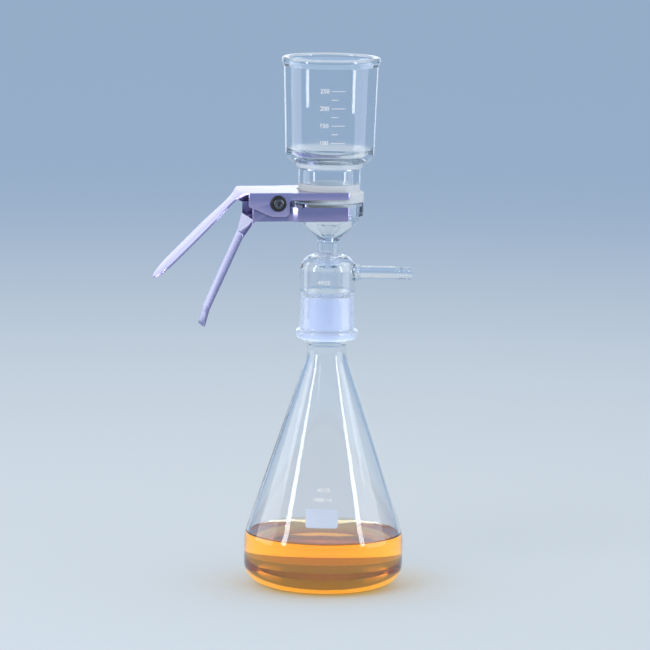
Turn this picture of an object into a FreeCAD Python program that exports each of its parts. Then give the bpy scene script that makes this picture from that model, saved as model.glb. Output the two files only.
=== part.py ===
import FreeCAD, Part
import math
import os
import re

import Sketcher

# A vacuum filtration assembly for 47 mm membranes: a graduated funnel, clamped on a support base that
# carries the suction side arm and caps a conical flask. Millimetres and degrees. The origin is the centre
# of the flask's foot, +Z is up and +X runs along the suction side arm.

SIZES = {
    "cut_reach": 1000.0,  # takes any cut past the whole part, half of it to each side
    # roundings that several glass pieces share
    "edge_round": 0.8,
    "fine_round": 0.6,
    "ring_round": 1.2,
    "blend_round": 3.0,
    # conical flask
    "flask_radius": 65.5,
    "flask_wall": 2.4,
    "flask_floor": 3.0,
    "foot_round": 19.5,
    "shoulder_height": 42.3,
    "shoulder_round": 38.0,
    "neck_radius": 16.0,
    "neck_round": 30.0,
    "neck_length": 14.7,
    "cone_top": 191.0,
    "fill_height": 43.1,
    # 40/35 ground joint between the flask's mouth and the base's cap
    "joint_length": 35.0,
    "joint_radius": 20.0,
    "joint_slope": 0.05,
    "joint_step": 5.0,
    "joint_relief": 0.5,
    "mouth_wall": 2.6,
    "throat_round": 2.0,
    "ground_gap": 0.2,
    # ground cap: dome, female joint and rim
    "dome_radius": 22.65,
    "dome_wall": 2.4,
    "dome_rise": 5.1,
    "dome_height": 29.2,
    "dome_round": 12.4,
    "dome_inner_round": 8.0,
    "cap_wall": 3.2,
    "cap_waist_round": 4.0,
    "rim_radius": 25.5,
    "rim_height": 7.1,
    "rim_taper": 1.2,
    "seal_radius": 11.6,
    "seal_depth": 8.4,
    "seal_collar": 2.6,
    # filter support: flange, collecting cone, stem and drip tube
    "flange_radius": 28.25,
    "flange_thickness": 11.6,
    "flange_rise": 5.3,
    "flange_round": 1.2,
    "stem_radius": 8.7,
    "stem_bore": 3.0,
    "stem_rise": 12.5,
    "stem_round": 6.0,
    "cone_radius": 24.0,
    "cone_rise": 14.4,
    "cone_round": 8.0,
    "chamber_radius": 17.0,
    "chamber_drop": 3.1,
    "chamber_rise": 5.0,
    "chamber_round": 4.5,
    "drip_bore": 5.8,
    "drip_bore_drop": 11.5,
    "drip_length": 51.5,
    "drip_bevel": 9.0,
    "disc_radius": 18.5,
    "disc_thickness": 4.0,
    "membrane_radius": 23.5,
    "membrane_thickness": 0.15,
    # suction side arm
    "arm_rise": 14.7,
    "arm_radius": 5.4,
    "arm_bore": 3.0,
    "arm_seal_radius": 6.3,
    "arm_seal_length": 2.55,
    "arm_seal_taper": 1.2,
    "arm_plain_length": 30.3,
    "barb_valley": 4.3,
    "barb_round": 0.2,
    "barb_step": 0.6,
    "barb_shoulder": 0.9,
    "barb_start": 2.5,
    "barb_pitch": 4.15,
    "barb_nose": 2.9,
    # funnel
    "funnel_flange": 8.2,
    "funnel_neck_radius": 25.1,
    "funnel_neck_length": 18.8,
    "funnel_bore": 17.5,
    "bead_radius": 26.9,
    "bead_height": 5.0,
    "bowl_floor": 5.0,
    "bowl_radius": 35.9,
    "bowl_height": 79.4,
    "bowl_round": 8.5,
    "mouth_radius": 38.5,
    "mouth_flare": 0.4,
    "funnel_wall": 3.6,
    "lip_overhang": 1.7,
    "lip_height": 7.2,
    "lip_round": 2.0,
    "lip_blend": 6.0,
    # fired-on marks
    "mark_thickness": 0.12,
    "mark_gap": 0.05,
    "spot_rise": 15.2,
    "spot_height": 14.9,
    "spot_start": -15.0,
    "spot_sweep": 26.7,
    "tick_rise": 19.0,
    "tick_height": 0.45,
    "tick_start": 1.5,
    "tick_long_sweep": 17.4,
    "tick_short_sweep": 8.4,
    "tick_cube": 36.84,  # side of a cube that holds the volume between two long ticks
    # spring clamp, measured from its pivot
    "clamp_angle": 11.5,
    "sheet": 1.5,
    "seat_gap": 0.2,
    "jaw_play": 0.5,
    "fork_reach": 11.4,
    "fork_gap": 1.2,
    "ear_half": 27.0,
    "ear_gap": 0.3,
    "ear_radius": 7.9,
    "ear_drop": 11.0,
    "ear_flat": 5.0,
    "inner_ear_radius": 6.4,
    "ear_front_round": 4.0,
    "ear_rear_round": 14.0,
    "shoulder_clearance": 2.25,
    "shoulder_length": 8.5,
    "shoulder_offset": 2.6,
    "shoulder_bend": 6.0,
    "pivot_clearance": 19.05,
    "pivot_rise": 1.5,
    "wall_run": 24.3,
    "wall_drop": 2.6,
    "upper_lip": 5.8,
    "lower_lip": 11.4,
    "lip_corner_round": 2.0,
    "handle_half": 10.0,
    "lower_handle_half": 12.5,
    "handle_bend": 5.0,
    "handle_curve": 20.0,
    "waist_run": 6.0,
    "waist_round": 9.0,
    "paddle_half": 16.5,
    "paddle_length": 45.0,
    "paddle_round": 40.0,
    "upper_bend_run": 26.6,
    "upper_tip_run": 98.0,
    "upper_tip_drop": 62.1,
    "lower_bend_run": 20.6,
    "lower_knee_run": 54.5,
    "lower_knee_drop": 87.9,
    "lower_tip_run": 58.3,
    "lower_tip_drop": 102.1,
    # hinge
    "rivet_radius": 2.5,
    "rivet_wall": 0.8,
    "rivet_head_lip": 1.5,
    "rivet_head_height": 1.2,
    "hinge_gap": 0.06,
    "washer_margin": 2.65,
    "washer_thickness": 1.2,
    "washer_gap": 0.05,
    "spool_wall": 1.84,
    "wire_radius": 0.9,
    "coil_turns": 6.0,
    "coil_pitch": 2.2,
    "spring_leg": 18.0,
}
TICK_COUNT = 4  # long ticks on the funnel, with a short one between each two
BARB_COUNT = 3

# Heights and radii that several pieces share, from the flask's foot up.
JOINT_BASE = "( cone_top + neck_length )"
JOINT_TOP = "( cone_top + neck_length + joint_length )"
JOINT_TOP_RADIUS = "( joint_radius - joint_slope * joint_length )"
MALE_RADIUS = "( joint_radius - ground_gap )"
MALE_TOP_RADIUS = "( joint_radius - joint_slope * joint_length - ground_gap )"
CONE_SLOPE = "( ( flask_radius - neck_radius ) / ( cone_top - shoulder_height ) )"
DOME_BASE = JOINT_TOP + " + dome_rise"
DOME_TOP = DOME_BASE + " + dome_height"
STEM_TOP = DOME_TOP + " + stem_rise"
FLANGE_BASE = STEM_TOP + " + cone_rise + flange_rise"
FLANGE_TOP = FLANGE_BASE + " + flange_thickness"
FUNNEL_BASE = FLANGE_TOP + " + membrane_thickness + washer_gap"
NECK_BASE = FUNNEL_BASE + " + funnel_flange"
BEAD_BASE = NECK_BASE + " + funnel_neck_length"
BOWL_BASE = BEAD_BASE + " + bead_height"
LIP_BASE = BOWL_BASE + " + bowl_height"

# The clamp's pivot and webs. Its arms are drawn with the jaws towards +X and the handles towards -X.
PIVOT_REACH = "( 0 - flange_radius - pivot_clearance )"
PIVOT_HEIGHT = "( " + FLANGE_TOP + " + pivot_rise )"
UPPER_UNDER = NECK_BASE + " + seat_gap"
UPPER_TOP = UPPER_UNDER + " + sheet"
LOWER_TOP = FLANGE_BASE + " - seat_gap"
LOWER_UNDER = LOWER_TOP + " - sheet"
FORK_HALF = "( flange_radius + jaw_play + sheet )"
SHOULDER_END = "( 0 - flange_radius - shoulder_clearance )"
SHOULDER_START = "( 0 - flange_radius - shoulder_clearance - shoulder_length )"
RIVET_BORE = "( rivet_radius + hinge_gap )"
RIVET_HEAD = "( rivet_radius + rivet_head_lip )"
SPOOL_RADIUS = "( rivet_radius + hinge_gap + spool_wall )"

doc = FreeCAD.newDocument("filtration_assembly")
sheet = doc.addObject("Spreadsheet::Sheet", "Sizes")
for row, (size_name, size_value) in enumerate(SIZES.items(), start=1):
    sheet.set("A%d" % row, size_name.replace("_", " "))
    sheet.set("B%d" % row, str(size_value))
    sheet.setAlias("B%d" % row, size_name)
doc.recompute()


def bound(expression):
    """Write each size's name in an expression as a reference to the sheet."""
    names = {name: "Sizes." + name for name in SIZES}
    return re.sub("[A-Za-z_]+", lambda word: names.get(word.group(), word.group()), expression)


def number(expression):
    """The value of an expression on the sheet's sizes, where a bare name is a size."""
    return float(sheet.evalExpression(bound(expression)))


def new_body(label):
    """Add a named body."""
    body = doc.addObject("PartDesign::Body", label)
    body.Label = label
    return body


def origin_plane(body, role):
    """Find one of the body's own origin planes."""
    return next(item for item in body.Origin.OriginFeatures if item.Role == role)


def new_sketch(body, name, role, height=None):
    """Add a sketch on one of the body's origin planes, raised by an expression."""
    sketch = body.newObject("Sketcher::SketchObject", name)
    sketch.AttachmentSupport = (origin_plane(body, role), [""])
    sketch.MapMode = "FlatFace"
    if height is not None:
        sketch.setExpression("AttachmentOffset.Base.z", bound(height))
    return sketch


def fix_point(sketch, geometry, end, x, y):
    """Hold one point at the place that two expressions give."""
    for kind, axis, place in (("DistanceX", -2, x), ("DistanceY", -1, y)):
        if place == "0":
            sketch.addConstraint(Sketcher.Constraint("PointOnObject", geometry, end, axis))
        else:
            index = sketch.addConstraint(Sketcher.Constraint(kind, geometry, end, number(place)))
            sketch.setExpression("Constraints[%d]" % index, bound(place))


def rounding_arc(corner, before, after, radius):
    """The arc that rounds a corner, its two tangent points and whether it turns to the left."""
    into = (corner - before).normalize()
    out = (after - corner).normalize()
    turn = math.atan2(into.x * out.y - into.y * out.x, into.dot(out))
    reach = radius * math.tan(abs(turn) / 2)
    first = corner - into * reach
    last = corner + out * reach
    side = FreeCAD.Vector(-into.y, into.x, 0) * math.copysign(radius, turn)
    centre = first + side
    circle = Part.Circle(centre, FreeCAD.Vector(0, 0, 1), radius)
    angles = [math.atan2(p.y - centre.y, p.x - centre.x) for p in (first, last)]
    if turn < 0:
        angles.reverse()
    return Part.ArcOfCircle(circle, angles[0], angles[1]), first, last, turn > 0


def join_arc(sketch, arc, incoming, outgoing, point, corner):
    """Put a rounding between two lines, held by its radius and by the corner that it replaces."""
    shape, left = arc
    arc_index = sketch.addGeometry(shape, False)
    entry, leaving = (1, 2) if left else (2, 1)
    sketch.addConstraint(Sketcher.Constraint("Tangent", incoming, 2, arc_index, entry))
    sketch.addConstraint(Sketcher.Constraint("Tangent", arc_index, leaving, outgoing, 1))
    index = sketch.addConstraint(Sketcher.Constraint("Radius", arc_index, number(corner[2])))
    sketch.setExpression("Constraints[%d]" % index, bound(corner[2]))
    mark = sketch.addGeometry(Part.Point(point), True)
    fix_point(sketch, mark, 1, corner[0], corner[1])
    sketch.addConstraint(Sketcher.Constraint("PointOnObject", mark, 1, incoming))
    sketch.addConstraint(Sketcher.Constraint("PointOnObject", mark, 1, outgoing))


def draw_outline(sketch, corners):
    """Draw a closed outline through corners (x, y) or (x, y, rounding radius), all expressions."""
    count = len(corners)
    points = [FreeCAD.Vector(number(c[0]), number(c[1]), 0) for c in corners]
    starts, ends, arcs = [], [], {}
    for i, corner in enumerate(corners):
        if len(corner) == 3:
            around = (points[i - 1], points[(i + 1) % count])
            arc, first, last, left = rounding_arc(points[i], *around, number(corner[2]))
            arcs[i] = (arc, left)
        else:
            first = last = points[i]
        ends.append(first)
        starts.append(last)
    lines = []
    for i in range(count):
        segment = Part.LineSegment(starts[i], ends[(i + 1) % count])
        lines.append(sketch.addGeometry(segment, False))
    for i, corner in enumerate(corners):
        incoming, outgoing = lines[i - 1], lines[i]
        if i in arcs:
            join_arc(sketch, arcs[i], incoming, outgoing, points[i], corner)
        else:
            sketch.addConstraint(Sketcher.Constraint("Coincident", incoming, 2, outgoing, 1))
            fix_point(sketch, outgoing, 1, corner[0], corner[1])


def draw_circle(sketch, x, y, radius):
    """Draw a circle whose centre and radius are expressions."""
    centre = FreeCAD.Vector(number(x), number(y), 0)
    circle = Part.Circle(centre, FreeCAD.Vector(0, 0, 1), number(radius))
    index = sketch.addGeometry(circle, False)
    fix_point(sketch, index, 3, x, y)
    constraint = sketch.addConstraint(Sketcher.Constraint("Radius", index, number(radius)))
    sketch.setExpression("Constraints[%d]" % constraint, bound(radius))


def revolve(body, name, outlines, axis="V_Axis", sweep="360", plane="XZ_Plane"):
    """Revolve one or more outlines about one of their sketch's own axes."""
    sketch = new_sketch(body, name + "_outline", plane)
    for outline in outlines:
        draw_outline(sketch, outline)
    feature = body.newObject("PartDesign::Revolution", name)
    feature.Profile = sketch
    feature.ReferenceAxis = (sketch, [axis])
    feature.setExpression("Angle", bound(sweep))
    return feature


def pad(body, name, sketch, length):
    """Raise a solid from a sketch."""
    feature = body.newObject("PartDesign::Pad", name)
    feature.Profile = sketch
    feature.setExpression("Length", bound(length))
    return feature


def pocket(body, name, sketch, both=False, reverse=False):
    """Cut a sketch right through the body, to one side or both, and make sure that it cuts."""
    doc.recompute()
    before = body.Shape.Volume
    feature = body.newObject("PartDesign::Pocket", name)
    feature.Profile = sketch
    feature.Midplane = both
    feature.Reversed = reverse
    feature.setExpression("Length", bound("cut_reach"))
    doc.recompute()
    if not body.Shape.Volume < before:
        raise RuntimeError("%s cuts nothing" % name)
    return feature


def turn_body(body, angle):
    """Turn a body about the vertical axis."""
    body.Placement.Rotation = FreeCAD.Rotation(FreeCAD.Vector(0, 0, 1), number(angle))
    body.setExpression("Placement.Rotation.Angle", bound(angle))


def make_disc(label, radius, base, top):
    """A flat round piece on the common axis."""
    body = new_body(label)
    revolve(body, label + "_disc", [[("0", base), (radius, base), (radius, top), ("0", top)]])
    return body


def inner_outline(inset):
    """Corners of the flask's inside from the neck down to the floor's centre, moved in by an inset."""
    wall = "( flask_wall + %s )" % inset
    drop = " - %s * tan( atan%s / 2 )" % (wall, CONE_SLOPE)
    return [
        ("neck_radius - " + wall, "cone_top" + drop, "neck_round + flask_wall"),
        ("flask_radius - " + wall, "shoulder_height" + drop, "shoulder_round - flask_wall"),
        ("flask_radius - " + wall, "flask_floor + " + inset, "foot_round - " + wall),
        ("0", "flask_floor + " + inset),
    ]


def make_flask():
    """Conical flask with a male ground cone for its mouth, open at the top."""
    body = new_body("receiver_flask")
    outline = [
        ("0", "0"),
        ("flask_radius", "0", "foot_round"),
        ("flask_radius", "shoulder_height", "shoulder_round"),
        ("neck_radius", "cone_top", "neck_round"),
        ("neck_radius", JOINT_BASE + " - joint_step", "flask_wall"),
        (MALE_RADIUS, JOINT_BASE, "edge_round"),
        (MALE_TOP_RADIUS, JOINT_TOP, "edge_round"),
        (MALE_TOP_RADIUS + " - mouth_wall", JOINT_TOP, "edge_round"),
        (MALE_RADIUS + " - mouth_wall", JOINT_BASE + " + edge_round", "throat_round"),
        ("neck_radius - flask_wall", JOINT_BASE + " - joint_step + edge_round", "throat_round"),
    ]
    revolve(body, "flask_glass", [outline + inner_outline("0")])
    return body


def make_filtrate():
    """The liquid in the flask, up to its fill height."""
    body = new_body("filtrate")
    outline = inner_outline("mark_gap")
    outline.append(("0", "cone_top"))
    outline.append(("neck_radius - flask_wall - mark_gap", "cone_top"))
    revolve(body, "flask_inside", [outline])
    above = new_sketch(body, "above_surface", "XY_Plane", "fill_height")
    draw_circle(above, "0", "0", "flask_radius")
    pocket(body, "air_space", above, reverse=True)
    return body


def make_marking_spot():
    """Writing patch fired onto the front of the flask's cone."""
    body = new_body("flask_marking_spot")
    low = "( shoulder_height + spot_rise )"
    high = "( shoulder_height + spot_rise + spot_height )"
    reach = "neck_radius + ( cone_top - %s ) * " + CONE_SLOPE + " + mark_gap"
    outline = [
        (reach % low, low),
        (reach % low + " + mark_thickness", low),
        (reach % high + " + mark_thickness", high),
        (reach % high, high),
    ]
    revolve(body, "spot", [outline], sweep="spot_sweep")
    turn_body(body, "spot_start - 90")
    return body


def make_ground_cap():
    """Dome with the ring seal on top and the female ground joint below, with its rim."""
    body = new_body("ground_cap")
    rim_top = JOINT_BASE + " + rim_height + rim_taper"
    outline = [
        ("stem_radius + mark_gap", DOME_TOP + " - seal_depth"),
        ("stem_radius + seal_collar", DOME_TOP + " - seal_depth", "ring_round"),
        ("seal_radius", DOME_TOP + " - dome_wall", "fine_round"),
        ("dome_radius - dome_wall", DOME_TOP + " - dome_wall", "dome_inner_round"),
        ("dome_radius - dome_wall", DOME_BASE + " - dome_wall / 2", "throat_round"),
        (JOINT_TOP_RADIUS, JOINT_TOP + " + joint_relief", "fine_round"),
        ("joint_radius", JOINT_BASE, "edge_round"),
        ("rim_radius", JOINT_BASE, "blend_round"),
        ("rim_radius", JOINT_BASE + " + rim_height", "blend_round"),
        ("joint_radius - joint_slope * ( rim_height + rim_taper ) + cap_wall", rim_top, "throat_round"),
        (JOINT_TOP_RADIUS + " + cap_wall", JOINT_TOP, "cap_waist_round"),
        ("dome_radius", DOME_BASE, "blend_round"),
        ("dome_radius", DOME_TOP, "dome_round"),
        ("stem_radius + edge_round", DOME_TOP, "edge_round"),
        ("stem_radius + mark_gap", DOME_TOP + " + seal_collar"),
    ]
    revolve(body, "cap_glass", [outline])
    hole = new_sketch(body, "arm_hole", "YZ_Plane")
    draw_circle(hole, "0", DOME_BASE + " + arm_rise", "arm_bore")
    pocket(body, "suction_hole", hole, reverse=True)
    return body


def make_filter_support():
    """Flange with its seat for the sintered disc, collecting cone, stem and bevelled drip tube."""
    body = new_body("filter_support")
    seat = FLANGE_TOP + " - disc_thickness"
    drip_tip = DOME_TOP + " - drip_length"
    drip_top = DOME_TOP + " - drip_bore_drop"
    outline = [
        ("drip_bore", drip_tip),
        ("stem_radius", drip_tip),
        ("stem_radius", STEM_TOP, "stem_round"),
        ("cone_radius", STEM_TOP + " + cone_rise", "cone_round"),
        ("cone_radius + ring_round", FLANGE_BASE, "edge_round"),
        ("flange_radius", FLANGE_BASE, "flange_round"),
        ("flange_radius", FLANGE_TOP, "fine_round"),
        ("disc_radius + mark_gap", FLANGE_TOP),
        ("disc_radius + mark_gap", seat),
        ("chamber_radius", seat),
        ("chamber_radius", FLANGE_BASE + " - chamber_drop", "chamber_round"),
        ("stem_bore", STEM_TOP + " + chamber_rise", "chamber_round"),
        ("stem_bore", drip_top + " + drip_bore - stem_bore"),
        ("drip_bore", drip_top),
    ]
    revolve(body, "support_glass", [outline])
    bevel = new_sketch(body, "bevel_outline", "XZ_Plane")
    below = drip_tip + " - edge_round"
    corners = [
        ("0 - stem_radius - edge_round", below),
        ("stem_radius + edge_round", below),
        ("stem_radius + edge_round", drip_tip + " + drip_bevel"),
    ]
    draw_outline(bevel, corners)
    pocket(body, "drip_bevel_cut", bevel, both=True)
    return body


def make_side_arm():
    """Suction tube sealed onto the dome, with hose barbs at its end."""
    body = new_body("side_arm")
    root = "dome_radius - dome_wall"
    seal_end = "dome_radius + arm_seal_length"
    plain_end = seal_end + " + arm_plain_length"
    first_barb = plain_end + " + barb_start"
    tip = first_barb + " + %d * barb_pitch + barb_nose" % (BARB_COUNT - 1)
    outline = [(root, "arm_bore"), (tip, "arm_bore"), (tip, "barb_valley", "fine_round")]
    for barb in reversed(range(BARB_COUNT)):
        ridge = first_barb + " + %d * barb_pitch" % barb
        outline.append((ridge, "arm_radius", "barb_round"))
        outline.append((ridge + " - barb_step", "barb_valley", "barb_round"))
    outline += [
        (plain_end + " + barb_shoulder", "barb_valley", "barb_round"),
        (plain_end, "arm_radius", "fine_round"),
        (seal_end, "arm_radius", "edge_round"),
        (seal_end + " - arm_seal_taper", "arm_seal_radius", "edge_round"),
        (root, "arm_seal_radius"),
    ]
    revolve(body, "arm_glass", [outline], axis="H_Axis")
    saddle = new_sketch(body, "saddle_outline", "XY_Plane")
    draw_circle(saddle, "0", "0", "dome_radius + mark_gap")
    pocket(body, "saddle", saddle, both=True)
    body.setExpression("Placement.Base.z", bound(DOME_BASE + " + arm_rise"))
    return body


def make_funnel():
    """Funnel: ground flange, thick neck, bead, bowl with a slight taper and a flared lip."""
    body = new_body("funnel")
    floor = BOWL_BASE + " + bowl_floor"
    top = LIP_BASE + " + lip_height"
    outline = [
        ("funnel_bore", FUNNEL_BASE),
        ("flange_radius", FUNNEL_BASE, "fine_round"),
        ("flange_radius", NECK_BASE, "ring_round"),
        ("funnel_neck_radius", NECK_BASE, "edge_round"),
        ("funnel_neck_radius", BEAD_BASE, "edge_round"),
        ("bead_radius", BEAD_BASE + " + ring_round", "ring_round"),
        ("bead_radius", BOWL_BASE, "fine_round"),
        ("bowl_radius", BOWL_BASE, "bowl_round"),
        ("mouth_radius", LIP_BASE, "blend_round"),
        ("mouth_radius + lip_overhang", LIP_BASE + " + lip_height / 2", "lip_round"),
        ("mouth_radius + lip_overhang", top, "lip_round"),
        ("mouth_radius - funnel_wall + mouth_flare", top, "lip_round"),
        ("mouth_radius - funnel_wall", LIP_BASE, "lip_blend"),
        ("bowl_radius - funnel_wall", floor, "bowl_round"),
        ("funnel_bore", floor, "blend_round"),
    ]
    revolve(body, "funnel_glass", [outline])
    return body


def tick_outline(height):
    """Corners of one fired-on tick's cross-section on the funnel's slightly tapered wall."""
    top = "( %s + tick_height )" % height
    taper = "( mouth_radius - bowl_radius ) / bowl_height"
    reach = "bowl_radius + mark_gap + ( %s - ( " + BOWL_BASE + " ) ) * " + taper
    return [
        (reach % height, height),
        (reach % height + " + mark_thickness", height),
        (reach % top + " + mark_thickness", top),
        (reach % top, top),
    ]


def make_graduations():
    """Fired-on ticks: a long one at every full volume step, by the bowl's bore, and a short one between."""
    body = new_body("funnel_graduations")
    bore = "( ( bowl_radius + mouth_radius ) / 2 - funnel_wall )"
    half_step = "tick_cube ^ 3 / 2 / ( pi * %s ^ 2 )" % bore
    lowest = BOWL_BASE + " + tick_rise"
    heights = ["( %s + %d * %s )" % (lowest, step, half_step) for step in range(2 * TICK_COUNT - 1)]
    outlines = [tick_outline(height) for height in heights]
    revolve(body, "long_ticks", outlines[0::2], sweep="tick_long_sweep")
    revolve(body, "short_ticks", outlines[1::2], sweep="tick_short_sweep")
    turn_body(body, "tick_start - 90")
    return body


def slope_angle(start, end):
    """Angle below the horizontal of the line from one corner of a bent strip to the next."""
    return "atan( ( %s - ( %s ) ) / ( %s - ( %s ) ) )" % (start[1], end[1], start[0], end[0])


def under_corner(corner, into, out):
    """The corner of a bent strip's underside below a corner of its top, between two slopes."""
    middle = "( ( %s + %s ) / 2 )" % (into, out)
    half = "( ( %s - %s ) / 2 )" % (out, into)
    x = "%s + sheet * sin%s / cos%s" % (corner[0], middle, half)
    y = "%s - sheet * cos%s / cos%s" % (corner[1], middle, half)
    return x, y


def handle_outline(bend, rest):
    """Side view of a handle: along the top from the bend to the tip and back along the underside."""
    top = [bend] + rest
    slopes = ["0 deg"] + [slope_angle(a, b) for a, b in zip(top, top[1:])]
    slopes.append(slopes[-1])
    under = [under_corner(c, slopes[i], slopes[i + 1]) for i, c in enumerate(top)]
    outline = [(bend[0], bend[1], "handle_bend")]
    outline += [(x, y, "handle_curve") for x, y in rest[:-1]]
    outline += [rest[-1], under[-1]]
    outline += [(x, y, "handle_curve") for x, y in reversed(under[1:-1])]
    outline.append((under[0][0], under[0][1], "handle_bend - sheet"))
    return outline


def mirrored(half):
    """Close a plan outline that is drawn on one side of the clamp's centre line."""
    return half + [(c[0], "0 - ( %s )" % c[1]) + tuple(c[2:]) for c in reversed(half)]


def mirrored_across(right):
    """Close an outline that is drawn on the right of its sketch's upright axis."""
    return right + [("0 - ( %s )" % c[0],) + tuple(c[1:]) for c in reversed(right)]


def channel_plan(tip, ear_half, start, inset):
    """Half plan of an arm's channel from the fork's tip to behind the ears, moved in by an inset."""
    return [
        (tip, FORK_HALF + " - " + inset, "sheet"),
        (SHOULDER_END, FORK_HALF + " - " + inset, "shoulder_bend"),
        (start, ear_half + " - " + inset, "shoulder_bend"),
    ]


def make_arm(label, plan, side_view, cavity, cavity_floor, cavity_up, slot):
    """One arm of the clamp, cut from its plan by its side view, hollowed, forked and pierced."""
    body = new_body(label)
    base = PIVOT_HEIGHT + " - lower_tip_drop - sheet * 2"
    plan_sketch = new_sketch(body, label + "_plan", "XY_Plane", base)
    draw_outline(plan_sketch, mirrored(plan))
    pad(body, label + "_block", plan_sketch, "%s - ( %s ) + sheet" % (UPPER_TOP, base))
    side_sketch = new_sketch(body, label + "_side_view", "XZ_Plane")
    draw_outline(side_sketch, mirrored_across([("cut_reach", "0"), ("cut_reach", "cut_reach")]))
    draw_outline(side_sketch, side_view)
    pocket(body, label + "_sides", side_sketch, both=True)
    cavity_sketch = new_sketch(body, label + "_inside", "XY_Plane", cavity_floor)
    draw_outline(cavity_sketch, mirrored(cavity))
    pocket(body, label + "_channel", cavity_sketch, reverse=cavity_up)
    slot_sketch = new_sketch(body, label + "_slot", "XY_Plane")
    round_end = slot + " - mark_gap"
    draw_outline(slot_sketch, mirrored([("fork_reach + sheet", slot), ("0 - " + slot, slot, round_end)]))
    pocket(body, label + "_fork", slot_sketch, both=True)
    hole = new_sketch(body, label + "_hole", "XZ_Plane")
    draw_circle(hole, PIVOT_REACH, PIVOT_HEIGHT, RIVET_BORE)
    pocket(body, label + "_pivot_hole", hole, both=True)
    turn_body(body, "clamp_angle")
    return body


def make_upper_arm():
    """Upper jaw, ears outside the lower arm's, and the wide straight handle."""
    wall_end = PIVOT_REACH + " - wall_run"
    bend = PIVOT_REACH + " - upper_bend_run"
    tip = (PIVOT_REACH + " - upper_tip_run", PIVOT_HEIGHT + " - upper_tip_drop")
    plan = channel_plan("fork_reach", "ear_half", SHOULDER_START, "0") + [
        (wall_end, "ear_half", "sheet"),
        (bend + " - waist_run", "handle_half", "waist_round"),
        (tip[0] + " + paddle_length", "paddle_half", "paddle_round"),
        (tip[0], "paddle_half", "paddle_half - mark_gap"),
    ]
    cavity = channel_plan("fork_reach + shoulder_bend", "ear_half", SHOULDER_START, "sheet")
    cavity.append((wall_end + " - seat_gap", "ear_half - sheet"))
    ear_front = PIVOT_REACH + " + ear_radius + sheet"
    ear_base = PIVOT_HEIGHT + " - ear_drop"
    side_view = [
        ("fork_reach", UPPER_TOP, "sheet / 2"),
        ("fork_reach", UPPER_TOP + " - upper_lip", "sheet / 2"),
        (ear_front, UPPER_TOP + " - upper_lip", "lip_corner_round"),
        (ear_front, ear_base, "ear_front_round"),
        (PIVOT_REACH + " - ear_flat", ear_base, "ear_rear_round"),
        (wall_end, PIVOT_HEIGHT + " - wall_drop", "sheet"),
        (wall_end, UPPER_UNDER),
    ]
    side_view += reversed(handle_outline((bend, UPPER_TOP), [tip]))
    slot = "( funnel_neck_radius + fork_gap )"
    return make_arm("clamp_upper_arm", plan, side_view, cavity, UPPER_UNDER, False, slot)


def make_lower_arm():
    """Lower jaw under the support's flange, ears inside the upper arm's, and the steep handle."""
    ear_half = "ear_half - sheet - ear_gap"
    start = SHOULDER_START + " + shoulder_offset"
    bend = PIVOT_REACH + " - lower_bend_run"
    knee = (PIVOT_REACH + " - lower_knee_run", PIVOT_HEIGHT + " - lower_knee_drop")
    tip = (PIVOT_REACH + " - lower_tip_run", PIVOT_HEIGHT + " - lower_tip_drop")
    plan = channel_plan("fork_reach", ear_half, start, "0") + [
        (bend, ear_half, "lip_corner_round"),
        (bend + " - waist_run", "lower_handle_half", "lip_corner_round"),
        (tip[0], "lower_handle_half", "lip_corner_round"),
    ]
    cavity = channel_plan("fork_reach + shoulder_bend", ear_half, start, "sheet")
    cavity.append((bend + " - seat_gap", ear_half + " - sheet"))
    wall_top = LOWER_UNDER + " + lower_lip"
    ear_round = "inner_ear_radius"
    ear_top = PIVOT_HEIGHT + " + " + ear_round
    ear_front = PIVOT_REACH + " + " + ear_round
    ear_rear = PIVOT_REACH + " - ( " + ear_round + " )"
    side_view = [
        ("fork_reach", LOWER_UNDER, "lip_corner_round"),
        ("fork_reach", wall_top, "sheet / 2"),
        (ear_front, wall_top, "lip_corner_round"),
        (ear_front, ear_top, ear_round + " - mark_gap"),
        (ear_rear, ear_top, ear_round + " - mark_gap"),
        (ear_rear, wall_top, "lip_corner_round"),
        (bend, wall_top, "lip_corner_round"),
        (bend, LOWER_TOP),
    ]
    side_view += handle_outline((bend, LOWER_TOP), [knee, tip])[1:]
    slot = "( cone_radius + ring_round + fork_gap )"
    return make_arm("clamp_lower_arm", plan, side_view, cavity, LOWER_TOP, True, slot)


def place_on_pivot(body):
    """Put a body that is drawn about its own Y axis on the clamp's pivot."""
    turn_body(body, "clamp_angle")
    body.setExpression("Placement.Base.x", bound(PIVOT_REACH + " * cos( clamp_angle )"))
    body.setExpression("Placement.Base.y", bound(PIVOT_REACH + " * sin( clamp_angle )"))
    body.setExpression("Placement.Base.z", bound(PIVOT_HEIGHT))
    return body


def make_ring(label, radius, start, end, rounding):
    """A ring on the rivet between two places along it."""
    body = new_body(label)
    outline = [(RIVET_BORE, start), (radius, start, rounding), (radius, end, rounding), (RIVET_BORE, end)]
    revolve(body, label + "_ring", [outline], plane="XY_Plane")
    return place_on_pivot(body)


def make_rivet():
    """Tubular rivet with a rolled head at each end."""
    body = new_body("pivot_rivet")
    seat = "( ear_half + washer_thickness + washer_gap * 2 )"
    end = "( ear_half + washer_thickness + washer_gap * 2 + rivet_head_height )"
    bore = "rivet_radius - rivet_wall"
    outline = [
        (bore, "0 - " + end, "rivet_head_height / 4"),
        (RIVET_HEAD, "0 - " + end, "rivet_head_height / 2"),
        (RIVET_HEAD, "0 - " + seat, "rivet_head_height / 4"),
        ("rivet_radius", "0 - " + seat),
        ("rivet_radius", seat),
        (RIVET_HEAD, seat, "rivet_head_height / 4"),
        (RIVET_HEAD, end, "rivet_head_height / 2"),
        (bore, end, "rivet_head_height / 4"),
    ]
    revolve(body, "rivet", [outline], plane="XY_Plane")
    return place_on_pivot(body)


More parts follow.
